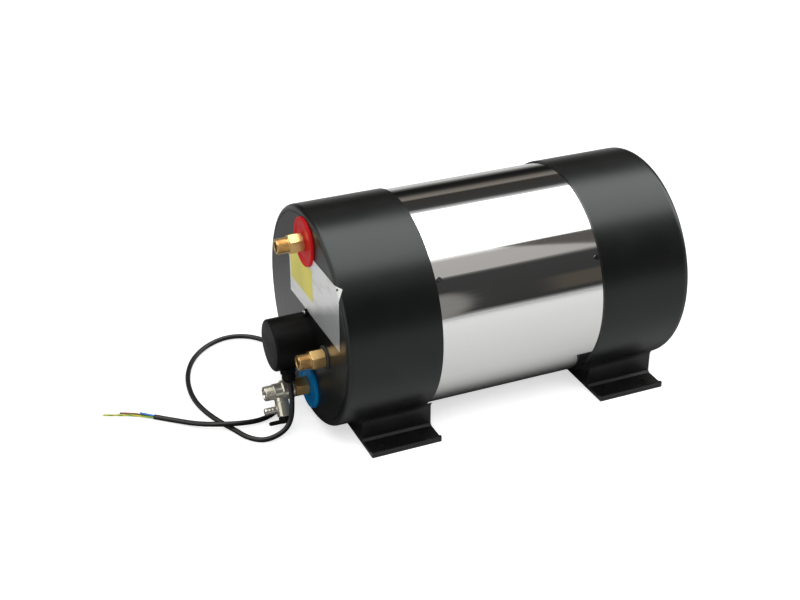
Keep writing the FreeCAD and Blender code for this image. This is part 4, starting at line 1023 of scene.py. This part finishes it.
def add_softbox(name, place, size, power):
    """A square lamp that gloss doesn't show: its place and size in metres, its power in watts."""
    light = bpy.data.lights.new(name, "AREA")
    light.shape = "RECTANGLE"
    light.size = size
    light.size_y = size
    light.energy = power
    lamp = bpy.data.objects.new(name, light)
    lamp.location = place
    aim = (LAMP_TARGET - Vector(place)).to_track_quat("-Z", "Y")
    lamp.rotation_euler = aim.to_euler()
    lamp.visible_glossy = False
    scene.collection.objects.link(lamp)


# The photograph's view: azimuth and elevation in degrees, distance and target in millimetres with
# the target's x from the face and its z from the floor, and the lens as a focal length in pixels.
CAMERA_AZIMUTH = -23.39
CAMERA_ELEVATION = 28.69
CAMERA_DISTANCE = 1892.25
CAMERA_TARGET_X = 133.4
CAMERA_TARGET_Z = 151.23
FOCAL_PIXELS = 1391
PHOTO_WIDTH = 800
SENSOR_WIDTH = 36


def make_camera():
    """A camera at the photograph's angle and distance, aimed at the tank's middle line."""
    azimuth = math.radians(CAMERA_AZIMUTH)
    elevation = math.radians(CAMERA_ELEVATION)
    target = Vector((CAMERA_TARGET_X + FACE_X, 0, CAMERA_TARGET_Z))
    back = Vector((math.sin(azimuth) * math.cos(elevation),
                   -math.cos(azimuth) * math.cos(elevation), math.sin(elevation)))
    data = bpy.data.cameras.new("camera")
    data.sensor_fit = "HORIZONTAL"
    data.sensor_width = SENSOR_WIDTH
    data.lens = FOCAL_PIXELS / PHOTO_WIDTH * SENSOR_WIDTH
    camera = bpy.data.objects.new("camera", data)
    camera.location = (target + back * CAMERA_DISTANCE) * MM
    camera.rotation_euler = (-back).to_track_quat("-Z", "Y").to_euler()
    scene.collection.objects.link(camera)
    scene.camera = camera


make_camera()
make_cable()
make_nipple("hot_nipple", 0, HOT_RISE, COLLAR_THICKNESS)
make_nipple("cold_nipple", 0, -COLD_DROP, COLLAR_THICKNESS)
make_nipple("coil_flow_nipple", -COIL_SPREAD, FLOW_RISE - COIL_DROP, SEAL_THICKNESS)
make_nipple("coil_return_nipple", RETURN_SPREAD, -COIL_DROP - RETURN_DROP, SEAL_THICKNESS)
make_collar("hot_collar", HOT_RISE, "red_plastic")
make_collar("cold_collar", -COLD_DROP, "blue_plastic")
make_cover()
make_gland()
make_foot_blend("front_foot_blend", FRONT_FOOT_START)
make_foot_blend("rear_foot_blend", REAR_FOOT_START)
make_valve()
make_lever()
make_spring("check_spring")
make_spring("relief_spring")
make_plate()
make_world()
make_floor()
add_softbox("key", (-0.6, -1.6, 2.6), 1.8, 28)
add_softbox("fill", (1.4, -1.2, 1.6), 1.4, 10)
scene.view_settings.view_transform = "Standard"
